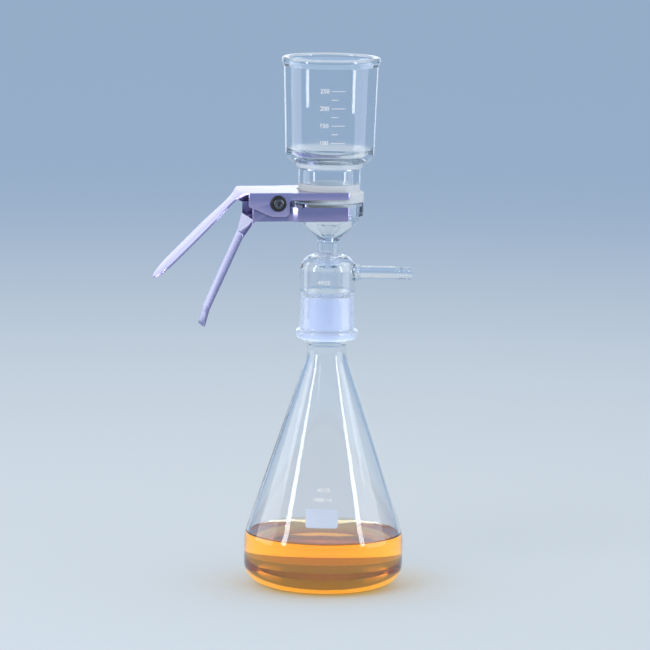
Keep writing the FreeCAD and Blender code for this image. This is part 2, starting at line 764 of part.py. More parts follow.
def make_pivot_rings():
    """Washers under the rivet's heads and the spool between the lower arm's ears."""
    washer = RIVET_HEAD + " + washer_margin"
    inner = "( ear_half + washer_gap )"
    outer = "( ear_half + washer_gap + washer_thickness )"
    spool = "( ear_half - sheet - ear_gap - sheet - washer_gap )"
    return [
        make_ring("front_washer", washer, "0 - " + outer, "0 - " + inner, "washer_thickness / 3"),
        make_ring("rear_washer", washer, inner, outer, "washer_thickness / 3"),
        make_ring("spring_spool", SPOOL_RADIUS, "0 - " + spool, spool, "washer_thickness / 3"),
    ]


def leg_angle(height, coil_radius, leg):
    """Angle at which a straight leg leaves the coil to end at a height above or below the pivot."""
    return math.asin(height / math.hypot(coil_radius, leg)) - math.atan2(coil_radius, leg)


def spring_path(coil_radius, pitch, leg, up, down):
    """The wire's centre line: leg, coil about the local Y axis and leg, in line with each other."""
    turns = number("coil_turns") + 0.5 - (up + down) / (2 * math.pi)
    length = turns * pitch
    x_axis = FreeCAD.Vector(math.sin(down), 0, -math.cos(down))
    z_axis = FreeCAD.Vector(0, -1, 0)
    coil = Part.makeHelix(pitch, length, coil_radius)
    turn = FreeCAD.Rotation(x_axis, z_axis.cross(x_axis), z_axis, "ZXY")
    coil.Placement = FreeCAD.Placement(z_axis * (-length / 2), turn)
    angle = 2 * math.pi * turns
    side = FreeCAD.Vector(math.cos(angle), math.sin(angle), 0) * coil_radius
    first = coil.Placement.multVec(FreeCAD.Vector(coil_radius, 0, 0))
    last = coil.Placement.multVec(side + FreeCAD.Vector(0, 0, length))
    climb = pitch / (2 * math.pi * coil_radius)
    low_way = FreeCAD.Vector(math.cos(down), -climb, math.sin(down)).normalize()
    high_way = FreeCAD.Vector(-math.cos(up), -climb, math.sin(up)).normalize()
    low_leg = Part.LineSegment(first - low_way * leg, first).toShape()
    high_leg = Part.LineSegment(last, last + high_way * leg).toShape()
    return Part.Wire([low_leg] + coil.Edges + [high_leg]), first - low_way * leg, low_way


def make_spring():
    """Torsion spring: a coil round the spool, one leg up to the upper web and one down to the lower."""
    wire = number("wire_radius")
    coil_radius = number(SPOOL_RADIUS + " + seat_gap + wire_radius")
    leg = number("spring_leg")
    rise = number("%s - %s - seat_gap / 2 - wire_radius" % (UPPER_UNDER, PIVOT_HEIGHT))
    fall = number("%s - ( %s ) - seat_gap / 2 - wire_radius" % (PIVOT_HEIGHT, LOWER_TOP))
    angles = [leg_angle(height, coil_radius, leg) for height in (rise, fall)]
    path, end, way = spring_path(coil_radius, number("coil_pitch"), leg, *angles)
    section = Part.Wire([Part.Circle(end, way, wire).toShape()])
    spring = doc.addObject("Part::Feature", "torsion_spring")
    spring.Label = "torsion_spring"
    spring.Shape = path.makePipeShell([section], True, False)
    return place_on_pivot(spring)


def check_and_write(parts):
    """Stop if any object failed or any sub-part isn't one valid shape, then write the STEP files."""
    doc.recompute()
    for item in doc.Objects:
        if "Invalid" in item.State or "Error" in item.State:
            raise RuntimeError("%s failed: %s" % (item.Name, item.State))
    for part in parts:
        shape = part.Shape
        if shape.isNull() or not shape.isValid() or not shape.Solids:
            raise RuntimeError("%s has no valid solid" % part.Label)
    os.makedirs("parts", exist_ok=True)
    for part in parts:
        part.Shape.exportStep("parts/%s.step" % part.Label)
        box = part.Shape.BoundBox
        corners = (box.XMin, box.YMin, box.ZMin, box.XMax, box.YMax, box.ZMax)
        print(part.Label, len(part.Shape.Solids), "solid(s)", *("%.1f" % c for c in corners))


check_and_write(
    [
        make_flask(),
        make_filtrate(),
        make_marking_spot(),
        make_ground_cap(),
        make_filter_support(),
        make_disc("sintered_disc", "disc_radius", FLANGE_TOP + " - disc_thickness", FLANGE_TOP),
        make_disc("membrane_filter", "membrane_radius", FLANGE_TOP, FLANGE_TOP + " + membrane_thickness"),
        make_side_arm(),
        make_funnel(),
        make_graduations(),
        make_upper_arm(),
        make_lower_arm(),
        make_rivet(),
        *make_pivot_rings(),
        make_spring(),
    ]
)
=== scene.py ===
"""Looks of the vacuum filtration assembly, built round its fixed frame.

Shapes are worked out in millimetres about the glassware's axis and put into their meshes in metres.
"""

import math

import bmesh
import bpy
import numpy as np
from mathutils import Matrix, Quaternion, Vector


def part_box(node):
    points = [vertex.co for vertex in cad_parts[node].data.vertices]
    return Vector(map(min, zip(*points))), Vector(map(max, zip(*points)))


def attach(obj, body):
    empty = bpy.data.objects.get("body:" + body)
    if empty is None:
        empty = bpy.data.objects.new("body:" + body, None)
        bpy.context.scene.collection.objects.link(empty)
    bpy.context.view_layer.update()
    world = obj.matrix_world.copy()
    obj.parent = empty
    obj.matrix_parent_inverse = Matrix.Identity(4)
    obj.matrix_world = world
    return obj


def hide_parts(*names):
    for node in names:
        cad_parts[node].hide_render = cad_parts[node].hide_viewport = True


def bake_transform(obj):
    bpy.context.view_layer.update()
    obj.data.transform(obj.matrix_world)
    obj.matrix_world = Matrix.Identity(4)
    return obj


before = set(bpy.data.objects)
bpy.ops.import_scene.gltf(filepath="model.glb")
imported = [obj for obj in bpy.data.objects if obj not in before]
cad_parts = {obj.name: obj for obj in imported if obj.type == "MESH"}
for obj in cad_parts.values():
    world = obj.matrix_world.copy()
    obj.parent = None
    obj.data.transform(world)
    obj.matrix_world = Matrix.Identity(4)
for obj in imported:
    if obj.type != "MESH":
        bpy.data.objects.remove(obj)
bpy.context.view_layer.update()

MM = 0.001
AROUND = 192  # facets round a large glass piece
AROUND_FLASK = 256
AROUND_TUBE = 96
AROUND_PIN = 64
ARC_STEP = math.radians(6)  # widest facet on a rounded corner
HOLD = 0.25  # distance of the rows that hold a straight run true beside its rounds
FRONT = math.radians(-90)
HAZE = 0.6  # how frosted the flanges, the bead and the seal are, where the ground joint is 1
FREE = 0.05  # clearance between pieces that lie against each other


def node_box(node):
    """Lowest and highest corner of a CAD node in millimetres."""
    low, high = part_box(node)
    return np.array(low) / MM, np.array(high) / MM


# Extents that the frame gives
FLASK_TOP = node_box("receiver_flask")[1][2]
CAP_BASE, CAP_TOP = (corner[2] for corner in node_box("ground_cap"))
DRIP_TIP, FLANGE_TOP = (corner[2] for corner in node_box("filter_support"))
FUNNEL_BASE, FUNNEL_TOP = (corner[2] for corner in node_box("funnel"))
FILL_HEIGHT = node_box("filtrate")[1][2]
ARM_TIP = node_box("side_arm")[1][0]

# Conical flask
FLASK_RADIUS = 65.5
FLASK_WALL = 2.4
FLASK_FLOOR = 3.0
FOOT_PUSHED_UP = [(0, 0.9), (30, 0.6, 20), (44, 0, 4)]  # the foot stands on a ring and is hollow within
FOOT_ROUND = 19.5
SHOULDER_HEIGHT = 42.3
SHOULDER_ROUND = 38.0
NECK_RADIUS = 16.0
NECK_ROUND = 30.0
CONE_TOP = 191.0
CONE_SLOPE = (FLASK_RADIUS - NECK_RADIUS) / (CONE_TOP - SHOULDER_HEIGHT)
NECK_FLARE = 5.0  # height over which the neck widens to the ground joint
WETTING = 0.12  # how far the liquid reaches into the glass, so that no gap shows
LIQUID_CLIMB = 2.0
# Ground joint
JOINT_LENGTH = FLASK_TOP - CAP_BASE
JOINT_RADIUS = 20.0
JOINT_TOP_RADIUS = 18.25
GROUND_GAP = 0.2
MOUTH_WALL = 2.6
# Ground cap
SEAL_COLLAR = 2.6
DOME_RADIUS = 22.65
DOME_WALL = 2.4
DOME_TOP = CAP_TOP - SEAL_COLLAR
DOME_BASE = FLASK_TOP + 5.1
CAP_WALL = 3.2
RIM_RADIUS = 25.5
RIM_HEIGHT = 7.1
RIM_TAPER = 1.2
DOME_ROUND = 12.4
SEAL_RADIUS = 11.6
SEAL_DEPTH = 8.4
SEAL_LIP = 0.8
# Filter support
STEM_RADIUS = 8.7
STEM_BORE = 3.0
STEM_TOP = DOME_TOP + 12.5
DRIP_BORE = 5.8
DRIP_BORE_TOP = DOME_TOP - 11.5
DRIP_BORE_TAPER = 2.8
DRIP_BEVEL = 9.0
DRIP_BEVEL_REACH = 12.0  # height over which the slant of the tip dies out
SUPPORT_CONE_RADIUS = 24.0
SUPPORT_CONE_RISE = 14.4
CHAMBER_RADIUS = 17.0
FLANGE_RADIUS = 28.25
FLANGE_BASE = FLANGE_TOP - 11.6
DISC_RADIUS = 18.5
DISC_THICKNESS = 4.0
SEAT_RADIUS = DISC_RADIUS + 0.02
MEMBRANE_RADIUS = 23.5
MEMBRANE_THICKNESS = 0.15
# Side arm
ARM_HEIGHT = DOME_BASE + 14.7
ARM_RADIUS = 5.4
ARM_BORE = 3.0
ARM_ROOT = DOME_RADIUS - DOME_WALL + 0.6
ARM_FLARE = 1.8  # how much wider the arm is where it joins the dome
ARM_SEAL_END = DOME_RADIUS + 2.55
ARM_PLAIN_END = ARM_SEAL_END + 30.3
BARB_VALLEY = 4.3
BARB_PITCH = 4.15
BARB_COUNT = 3
BARB_BASE = ARM_PLAIN_END + 2.5
# Funnel
FUNNEL_BORE = 17.5
FUNNEL_NECK_RADIUS = 25.1
NECK_BASE = FUNNEL_BASE + 8.2
BEAD_BASE = NECK_BASE + 18.8
BOWL_BASE = BEAD_BASE + 5.0
BEAD_RADIUS = 26.9
BOWL_RADIUS = 35.9
BOWL_HEIGHT = 79.4
LIP_BASE = BOWL_BASE + BOWL_HEIGHT
MOUTH_RADIUS = 38.5
LIP_FLARE = 1.7
LIP_RISE = 3.6
FUNNEL_WALL = 3.6
FUNNEL_FLOOR = 5.0
NECK_HAZE = 5.5  # how far up its neck the funnel is frosted
BAND_RISE = 6.8  # how far up the neck the ground skin goes
SKIN_NEAR = 0.02  # distance of a ground skin's inner side from the glass
# Clamp, about its pivot
CLAMP_TURN = math.radians(11.5)
PIVOT_REACH = -47.3
PIVOT_HEIGHT = FLANGE_TOP + 1.5
EAR_HALF = 27.0
SHEET = 1.5
JAW_GAP = 0.2
UPPER_WEB_TOP = NECK_BASE + JAW_GAP + SHEET
LOWER_WEB_BASE = FLANGE_BASE - JAW_GAP - SHEET
RIVET_RADIUS = 2.5
RIVET_HOLE = RIVET_RADIUS + 0.06  # bore of what sits on the rivet
RIVET_HEAD = 4.0
RIVET_HEAD_HEIGHT = 1.2
RIVET_BORE = 1.7
WASHER_RADIUS = 6.65
WASHER_THICKNESS = 1.2
SPOOL_RADIUS = 4.4
WIRE_RADIUS = 0.9
COIL_RADIUS = 5.5
COIL_PITCH = 2.2
COIL_TURNS = 6.0
SPRING_LEG = 18.0
WEB_CLEARANCE = 0.1  # between each leg's wire and the sheet it presses on
LEG_ROWS = np.array([0, 0.05, 0.2, 0.5, 1, 6, 12, 17, 17.9])  # from the leg's tip to the coil
TIP_SHARES = np.array([0, 0.5, 0.85, 0.98])  # the wire's thickness at a leg's first rows


# ---------------- outlines and surfaces


def corner_arc(before, corner, after, radius):
    """The round at a corner: the point on each spoke is the centre plus the first spoke, turned by even
    steps through the angle between the run in and the run out."""
    into = (corner - before) / np.linalg.norm(corner - before)
    out = (after - corner) / np.linalg.norm(after - corner)
    turn = math.atan2(into[0] * out[1] - into[1] * out[0], into @ out)
    first = corner - into * radius * math.tan(abs(turn) / 2)
    centre = first + np.array([-into[1], into[0]]) * math.copysign(radius, turn)
    angle = np.linspace(0, turn, max(3, math.ceil(abs(turn) / ARC_STEP) + 1))
    spoke = first - centre
    across = spoke[0] * np.cos(angle) - spoke[1] * np.sin(angle)
    along = spoke[0] * np.sin(angle) + spoke[1] * np.cos(angle)
    return centre + np.stack([across, along], axis=1)


def rounded_outline(corners, spacing=None):
    """Outline through corners (radius, height, rounding, frosted), where frosted tells of the run that
    follows. A round is a circle's arc, and each straight run has a row close to each of its ends."""
    places = [np.array(corner[:2], float) for corner in corners]
    count = len(corners)
    open_ended = places[0][0] == 0 and places[-1][0] == 0
    arcs = []
    for i, corner in enumerate(corners):
        rounding = corner[2] if len(corner) > 2 else 0
        if rounding:
            arcs.append(corner_arc(places[i - 1], places[i], places[(i + 1) % count], rounding))
        else:
            arcs.append(places[i][None])
    frosted = [float(corner[3]) if len(corner) > 3 else 0.0 for corner in corners]
    rows = []
    for i, arc in enumerate(arcs):
        change = np.where(np.arange(len(arc)) < len(arc) / 2, frosted[i - 1], frosted[i])
        rows.append(np.column_stack([arc, change]))
        if open_ended and i == count - 1:
            break
        gap = arcs[(i + 1) % count][0] - arc[-1]
        length = math.hypot(*gap)
        if length < 4 * HOLD:
            continue
        share = [HOLD / length, 1 - HOLD / length]
        if spacing:
            share = np.linspace(share[0], share[1], max(2, math.ceil(length / spacing)))
        run = arc[-1] + gap * np.array(share)[:, None]
        rows.append(np.column_stack([run, np.full(len(run), frosted[i])]))
    outline = np.concatenate(rows)
    x, y = outline[:, 0], outline[:, 1]
    area = np.sum(x * np.roll(y, -1) - np.roll(x, -1) * y)
    return outline if area > 0 else outline[::-1]


def skin(grid, closed_rows):
    """Points and faces of a grid of rows and columns whose columns close on themselves. A row that is all
    one point becomes a single pole, and closed_rows joins the last row to the first."""
    pole = np.all(np.ptp(grid, axis=1) < 1e-9, axis=1)
    columns = np.arange(grid.shape[1])
    keep = (columns == 0) | ~pole[:, None]
    counts = keep.sum(axis=1)
    index = (np.cumsum(counts) - counts)[:, None] + np.where(pole[:, None], 0, columns)
    here, above = (index, np.roll(index, -1, axis=0)) if closed_rows else (index[:-1], index[1:])
    quads = np.stack([here, np.roll(here, -1, 1), np.roll(above, -1, 1), above], axis=2).reshape(-1, 4)
    low = quads[:, 0] == quads[:, 1]
    high = quads[:, 2] == quads[:, 3]
    faces = quads[~(low | high)].tolist() + quads[low][:, 1:].tolist() + quads[high][:, :3].tolist()
    return grid[keep], faces, keep


def add_piece(name, points, faces, frosted=None):
    """A smooth-shaded mesh object from points in millimetres, with how frosted each point is."""
    mesh = bpy.data.meshes.new(name)
    mesh.from_pydata((points * MM).tolist(), [], faces)
    mesh.shade_smooth()
    if frosted is not None:
        layer = mesh.attributes.new("frosted", "FLOAT", "POINT")
        layer.data.foreach_set("value", np.ascontiguousarray(frosted, np.float32))
    mesh.update()
    piece = bpy.data.objects.new(name, mesh)
    bpy.context.collection.objects.link(piece)
    return piece


def lathe(name, corners, place=None, around=AROUND, shape=None):
    """A profile carried round an axis: an outline point's radius times the cosine and sine of each even
    step round gives x and y, and its height gives z. shape bends the grid and place sets it elsewhere."""
    outline = rounded_outline(corners)
    angle = np.linspace(0, 2 * math.pi, around, endpoint=False)
    radius, height, frost = (column[:, None] for column in outline.T)
    grid = np.stack([radius * np.cos(angle), radius * np.sin(angle), height + 0 * angle], axis=2)
    if shape:
        grid = shape(grid)
    points, faces, keep = skin(grid, closed_rows=outline[:, 0].min() > 1e-9)
    frosted = np.broadcast_to(frost, keep.shape)[keep]
    return add_piece(name, place(points) if place else points, faces, frosted)


def on_pivot(points):
    """Places points drawn about +Z so that the axis lies along the clamp's rivet."""
    ahead = np.array([math.cos(CLAMP_TURN), math.sin(CLAMP_TURN), 0])
    across = np.array([-math.sin(CLAMP_TURN), math.cos(CLAMP_TURN), 0])
    pivot = ahead * PIVOT_REACH + [0, 0, PIVOT_HEIGHT]
    x, y, z = points.T[:, :, None]
    return pivot + x * ahead - y * np.array([0, 0, 1]) + z * across


def along_arm(points):
    """Places points drawn about +Z so that the axis lies along the side arm."""
    x, y, z = points.T
    return np.stack([z, x, y + ARM_HEIGHT], axis=1)


# ---------------- glassware


def make_flask():
    """Conical flask whose mouth is the male ground cone: one profile, up the outside from the foot and
    down the inside, carried round the upright axis. A bend of the wall is lower inside by the wall's
    thickness times the tangent of half the bend."""
    male = JOINT_RADIUS - GROUND_GAP
    male_top = JOINT_TOP_RADIUS - GROUND_GAP
    inside = FLASK_RADIUS - FLASK_WALL
    drop = FLASK_WALL * math.tan(math.atan(CONE_SLOPE) / 2)
    corners = [
        *FOOT_PUSHED_UP,
        (FLASK_RADIUS, 0, FOOT_ROUND),
        (FLASK_RADIUS, SHOULDER_HEIGHT, SHOULDER_ROUND),
        (NECK_RADIUS, CONE_TOP, NECK_ROUND),
        (NECK_RADIUS, CAP_BASE - NECK_FLARE, 2.4),
        (male, CAP_BASE, 0.8, 1),
        (male_top, FLASK_TOP, 0.8),
        (male_top - MOUTH_WALL, FLASK_TOP, 0.8),
        (male - MOUTH_WALL, CAP_BASE + 0.8, 2),
        (NECK_RADIUS - FLASK_WALL, CAP_BASE + 0.8 - NECK_FLARE, 2),
        (NECK_RADIUS - FLASK_WALL, CONE_TOP - drop, NECK_ROUND + FLASK_WALL),
        (inside, SHOULDER_HEIGHT - drop, SHOULDER_ROUND - FLASK_WALL),
        (inside, FLASK_FLOOR, FOOT_ROUND - FLASK_WALL),
        (0, FLASK_FLOOR),
    ]
    return lathe("flask_glass", corners, around=AROUND_FLASK)


def make_filtrate():
    """The liquid: a profile a hair wider than the flask's inside, whose flat top climbs the wall, carried
    round the upright axis."""
    wall = FLASK_WALL - WETTING
    radius = FLASK_RADIUS - wall
    corners = [
        (0, FILL_HEIGHT),
        (radius - 4.5, FILL_HEIGHT, 12),
        (radius - 1.0, FILL_HEIGHT + 0.7, 1.5),
        (radius - 0.25, FILL_HEIGHT + LIQUID_CLIMB, 0.4),
        (radius - 0.15, FILL_HEIGHT + LIQUID_CLIMB, 0.02),
        (radius - 0.1, FILL_HEIGHT - 3),
        (radius, FILL_HEIGHT - 8, 20),
        (radius, FLASK_FLOOR - WETTING, FOOT_ROUND - wall),
        (0, FLASK_FLOOR - WETTING),
    ]
    return lathe("filtrate_liquid", corners, around=AROUND_FLASK)


def make_cap():
    """Dome with the ring seal on top, the female ground joint below and its thick rim: one profile, down
    the inside and up the outside, carried round the upright axis."""
    rim_top = CAP_BASE + RIM_HEIGHT + RIM_TAPER
    slope = (JOINT_RADIUS - JOINT_TOP_RADIUS) / JOINT_LENGTH
    corners = [
        (STEM_RADIUS + FREE, DOME_TOP - SEAL_DEPTH),
        (STEM_RADIUS + SEAL_COLLAR, DOME_TOP - SEAL_DEPTH, 1.2, HAZE),
        (SEAL_RADIUS, DOME_TOP - DOME_WALL, 0.6),
        (DOME_RADIUS - DOME_WALL, DOME_TOP - DOME_WALL, 8),
        (DOME_RADIUS - DOME_WALL, DOME_BASE - DOME_WALL / 2, 2),
        (JOINT_TOP_RADIUS, FLASK_TOP + 0.5, 0.6, 1),
        (JOINT_RADIUS, CAP_BASE, 0.8, 0),
        (RIM_RADIUS, CAP_BASE, 3),
        (RIM_RADIUS, CAP_BASE + RIM_HEIGHT, 3),
        (JOINT_RADIUS - slope * (RIM_HEIGHT + RIM_TAPER) + CAP_WALL, rim_top, 2),
        (JOINT_TOP_RADIUS + CAP_WALL, FLASK_TOP, 4),
        (DOME_RADIUS, DOME_BASE, 3),
        (DOME_RADIUS, DOME_TOP, DOME_ROUND),
        (STEM_RADIUS + SEAL_COLLAR, DOME_TOP, 0, HAZE),
        (STEM_RADIUS + SEAL_LIP, DOME_TOP, 0.8, HAZE),
        (STEM_RADIUS + FREE, CAP_TOP),
    ]
    return lathe("cap_glass", corners)


def bevel_drip(grid):
    """Cuts the drip tube's end on a slant: a point rises with its place across the tube, all of the way at
    the tip and less and less with its height above it."""
    near = np.clip(1 - (grid[:, :, 2] - DRIP_TIP) / DRIP_BEVEL_REACH, 0, 1)
    rise = (grid[:, :, 0] / STEM_RADIUS + 1) / 2 * DRIP_BEVEL
    grid[:, :, 2] += near * rise
    return grid


def make_support():
    """Flange with the disc's seat, collecting cone, stem and bevelled drip tube: one profile, up the
    outside and down the bore, carried round the upright axis."""
    seat = FLANGE_TOP - DISC_THICKNESS
    corners = [
        (DRIP_BORE, DRIP_TIP, 0.4),
        (STEM_RADIUS, DRIP_TIP, 0.6),
        (STEM_RADIUS, STEM_TOP, 6),
        (SUPPORT_CONE_RADIUS, STEM_TOP + SUPPORT_CONE_RISE, 8),
        (SUPPORT_CONE_RADIUS + 1.2, FLANGE_BASE, 0.8),
        (FLANGE_RADIUS, FLANGE_BASE, 1.2),
        (FLANGE_RADIUS, FLANGE_TOP, 0.6, 1),
        (SEAT_RADIUS, FLANGE_TOP, 0.3, 0),
        (SEAT_RADIUS, seat),
        (CHAMBER_RADIUS, seat, 0.3),
        (CHAMBER_RADIUS, FLANGE_BASE - 3.1, 4.5),
        (STEM_BORE, STEM_TOP + 5, 4.5),
        (STEM_BORE, DRIP_BORE_TOP + DRIP_BORE_TAPER, 0.8),
        (DRIP_BORE, DRIP_BORE_TOP, 0.8),
    ]
    return lathe("support_glass", corners, shape=bevel_drip)


def make_side_arm():
    """Suction tube flaring into the dome's wall, with its hose barbs: one profile carried round the tube's
    own level axis."""
    corners = [(ARM_BORE, ARM_ROOT, 0.3), (ARM_BORE, ARM_TIP, 0.4), (BARB_VALLEY, ARM_TIP, 0.6)]
    for barb in reversed(range(BARB_COUNT)):
        ridge = BARB_BASE + barb * BARB_PITCH
        corners.append((ARM_RADIUS, ridge, 0.25))
        corners.append((BARB_VALLEY, ridge - 0.6, 0.2))
    corners += [
        (BARB_VALLEY, ARM_PLAIN_END + 0.9, 0.2),
        (ARM_RADIUS, ARM_PLAIN_END, 0.6),
        (ARM_RADIUS, ARM_SEAL_END + 1.5, 6),
        (ARM_RADIUS + ARM_FLARE - 0.2, ARM_SEAL_END - 1.2, 1.5),
        (ARM_RADIUS + ARM_FLARE, ARM_ROOT, 0.3),
    ]
    return lathe("arm_glass", corners, place=along_arm, around=AROUND_TUBE)


def make_funnel():
    """Funnel: ground flange, thick neck, bead, slightly tapered bowl and flared lip, as one profile, up the
    outside and down the bore, carried round the upright axis."""
    floor = BOWL_BASE + FUNNEL_FLOOR
    corners = [
        (FUNNEL_BORE, FUNNEL_BASE, 0.5, HAZE),
        (FLANGE_RADIUS, FUNNEL_BASE, 0.6, HAZE),
        (FLANGE_RADIUS, NECK_BASE, 1.2, HAZE),
        (FUNNEL_NECK_RADIUS, NECK_BASE, 0.8, HAZE),
        (FUNNEL_NECK_RADIUS, NECK_BASE + NECK_HAZE, 0, 0),
        (FUNNEL_NECK_RADIUS, BEAD_BASE, 0.8),
        (BEAD_RADIUS, BEAD_BASE + 1.2, 1.2, HAZE),
        (BEAD_RADIUS, BOWL_BASE, 0.6, 0),
        (BOWL_RADIUS, BOWL_BASE, 8.5),
        (MOUTH_RADIUS, LIP_BASE, 3),
        (MOUTH_RADIUS + LIP_FLARE, LIP_BASE + LIP_RISE, 2),
        (MOUTH_RADIUS + LIP_FLARE, FUNNEL_TOP, 2),
        (MOUTH_RADIUS - FUNNEL_WALL + 0.4, FUNNEL_TOP, 2),
        (MOUTH_RADIUS - FUNNEL_WALL, LIP_BASE, 6),
        (BOWL_RADIUS - FUNNEL_WALL, floor, 8.5),
        (FUNNEL_BORE, floor, 3),
    ]
    return lathe("funnel_glass", corners)


def make_ground_band():
    """A hair-thin skin over the funnel's flange and the foot of its neck, where they are ground matt: the
    outside's own profile, once a hair out and once closer in, carried round the upright axis."""
    foot, brow = FUNNEL_BASE + 0.6, NECK_BASE + BAND_RISE
    near, far = SKIN_NEAR, 0.1
    corners = [
        (FLANGE_RADIUS + far, foot),
        (FLANGE_RADIUS + far, NECK_BASE + far, 1.25),
        (FUNNEL_NECK_RADIUS + far, NECK_BASE + far, 0.75),
        (FUNNEL_NECK_RADIUS + far, brow),
        (FUNNEL_NECK_RADIUS + near, brow),
        (FUNNEL_NECK_RADIUS + near, NECK_BASE + near, 0.8),
        (FLANGE_RADIUS + near, NECK_BASE + near, 1.2),
        (FLANGE_RADIUS + near, foot),
    ]
    return lathe("ground_band", corners)


def make_bead_band():
    """A hair-thin white skin, a painted highlight on the clear bead under the bowl: the bead's own outside,
    once a hair out and once closer in, carried round the upright axis."""
    foot, brow = BEAD_BASE + 0.9, BOWL_BASE - 0.2
    near, far = SKIN_NEAR, 0.08
    foot_inset, foot_rise = 0.5, 0.6
    corners = [
        (BEAD_RADIUS + far, foot + foot_rise, 0.6),
        (BEAD_RADIUS + far, brow),
        (BEAD_RADIUS + near, brow),
        (BEAD_RADIUS + near, foot + foot_rise, 0.6),
        (BEAD_RADIUS + near - foot_inset, foot),
        (BEAD_RADIUS + far - foot_inset, foot),
    ]
    return lathe("bead_highlight_band", corners)


def make_frit():
    """Porous glass disc in the support's seat: half its section carried round the upright axis."""
    base = FLANGE_TOP - DISC_THICKNESS
    corners = [(0, base), (DISC_RADIUS, base, 0.3), (DISC_RADIUS, FLANGE_TOP, 0.3), (0, FLANGE_TOP)]
    return lathe("frit", corners)


def make_membrane():
    """Filter membrane on the disc: half its section carried round the upright axis."""
    top = FLANGE_TOP + MEMBRANE_THICKNESS
    corners = [(0, FLANGE_TOP), (MEMBRANE_RADIUS, FLANGE_TOP, 0.05), (MEMBRANE_RADIUS, top, 0.05), (0, top)]
    return lathe("membrane_sheet", corners)


# ---------------- enamel marks

MARK_THICKNESS = 0.1
MARK_SINK = 0.02  # how far a mark's foot goes into its wall
PATCH_ROW = 4  # widest gap between a patch's rows
PATCH_EDGE = 1.0  # widest gap between points along its edge
SCALE_BASE = 19.22  # height of the lowest tick above the bowl's base
SCALE_HEADROOM = 0.23  # from the highest tick's middle to the top of the scale
SCALE_VOLUMES = (100, 150, 200, 250)
LONG_TICK = 11.3
SHORT_TICK = 5.5
TICK_WIDTH = 0.55
TICK_LEFT = math.radians(1.5)  # from the middle of the front to where every tick starts
NUMBER_SIZE = 3.7
NUMBER_LEFT = 4.7  # from the middle of the front to the middle of each number
PATCH_WIDTH = 26.4
PATCH_ANGLE = FRONT - math.radians(1.65)
LETTER_SIZE = 3.4
SIZES_ANGLE = FRONT - 0.01
VOLUME_HEIGHT = 79.6  # heights above the floor from here on
JOINT_SIZE_HEIGHT = 87.2
DOME_SIZE_ANGLE = FRONT - math.radians(8)
DOME_SIZE_HEIGHT = DOME_BASE + 8.4


def on_wall(flat, radius_at, angle, height):
    """A flat mark, as points (across, up, out) and faces, laid on a round wall: the angle grows by across
    over the radius, the height by up, and out adds to the wall's own radius at that height."""
    points, faces = flat
    across, up, out = points.T
    z = height + up
    radius = radius_at(z)
    turn = angle + across / radius
    return np.stack([(radius + out) * np.cos(turn), (radius + out) * np.sin(turn), z], axis=1), faces


def cone_radius(height):
    """The flask's outside on its conical wall."""
    return NECK_RADIUS + (CONE_TOP - height) * CONE_SLOPE


def bowl_radius(height):
    """The funnel's outside on its tapered wall."""
    return BOWL_RADIUS + (MOUTH_RADIUS - BOWL_RADIUS) * (height - BOWL_BASE) / BOWL_HEIGHT


def dome_radius(height):
    """The cap's outside on its straight dome."""
    return DOME_RADIUS + 0 * height


def flat_patch(width, depth, rounding):
    """A thin patch: its rounded rectangle, scaled from a point up to full size on top and back to a point
    below, with a slightly sunk foot."""
    x, y = width / 2, depth / 2
    corners = [(-x, -y, rounding), (x, -y, rounding), (x, y, rounding), (-x, y, rounding)]
    edge = rounded_outline(corners, spacing=PATCH_EDGE)
    across, up = edge[:, 0], edge[:, 1]
    steps = max(2, math.ceil(max(width, depth) / PATCH_ROW))
    inner = np.linspace(0, 1, steps + 1)
    rim = 1 - 0.4 * MARK_THICKNESS / min(x, y)
    scale = np.concatenate([inner[:-1] * rim, [rim, 1, 1], inner[::-1][1:]])[:, None]
    top = np.full(steps + 1, MARK_THICKNESS)
    foot = np.full(steps + 1, -MARK_SINK)
    out = np.concatenate([top, [0.6 * MARK_THICKNESS], foot])[:, None]
    grid = np.stack([scale * across, scale * up, out + 0 * across], axis=2)
    points, faces, _ = skin(grid[::-1], closed_rows=False)
    return points, faces


def letters(words, height):
    """Flat letters as a closed mesh, centred, their tallest one as high as asked."""
    curve = bpy.data.curves.new("letters", "FONT")
    curve.body = words
    curve.extrude = 0.05
    curve.offset = 0.018
    curve.resolution_u = 4
    holder = bpy.data.objects.new("letters", curve)
    bpy.context.collection.objects.link(holder)
    bpy.context.view_layer.update()
    mesh = bpy.data.meshes.new_from_object(holder.evaluated_get(bpy.context.evaluated_depsgraph_get()))
    bm = bmesh.new()
    bm.from_mesh(mesh)
    bmesh.ops.remove_doubles(bm, verts=bm.verts, dist=1e-5)
    bmesh.ops.triangulate(bm, faces=bm.faces)
    bm.to_mesh(mesh)
    bm.free()
    points = np.zeros(len(mesh.vertices) * 3)
    mesh.vertices.foreach_get("co", points)
    points = points.reshape(-1, 3)
    faces = [list(polygon.vertices) for polygon in mesh.polygons]
    bpy.data.objects.remove(holder)
    bpy.data.meshes.remove(mesh)
    bpy.data.curves.remove(curve)
    low, high = points.min(axis=0), points.max(axis=0)
    points[:, :2] -= (low[:2] + high[:2]) / 2
    points[:, :2] *= height / (high[1] - low[1])
    points[:, 2] = np.where(points[:, 2] > 0, MARK_THICKNESS, -MARK_SINK)
    return points, faces


def join_marks(name, marks):
    """One piece from marks laid on a wall, whose points and faces follow one another."""
    points, faces, count = [], [], 0
    for mark_points, mark_faces in marks:
        points.append(mark_points)
        faces += [[corner + count for corner in face] for face in mark_faces]
        count += len(mark_points)
    return add_piece(name, np.concatenate(points), faces)


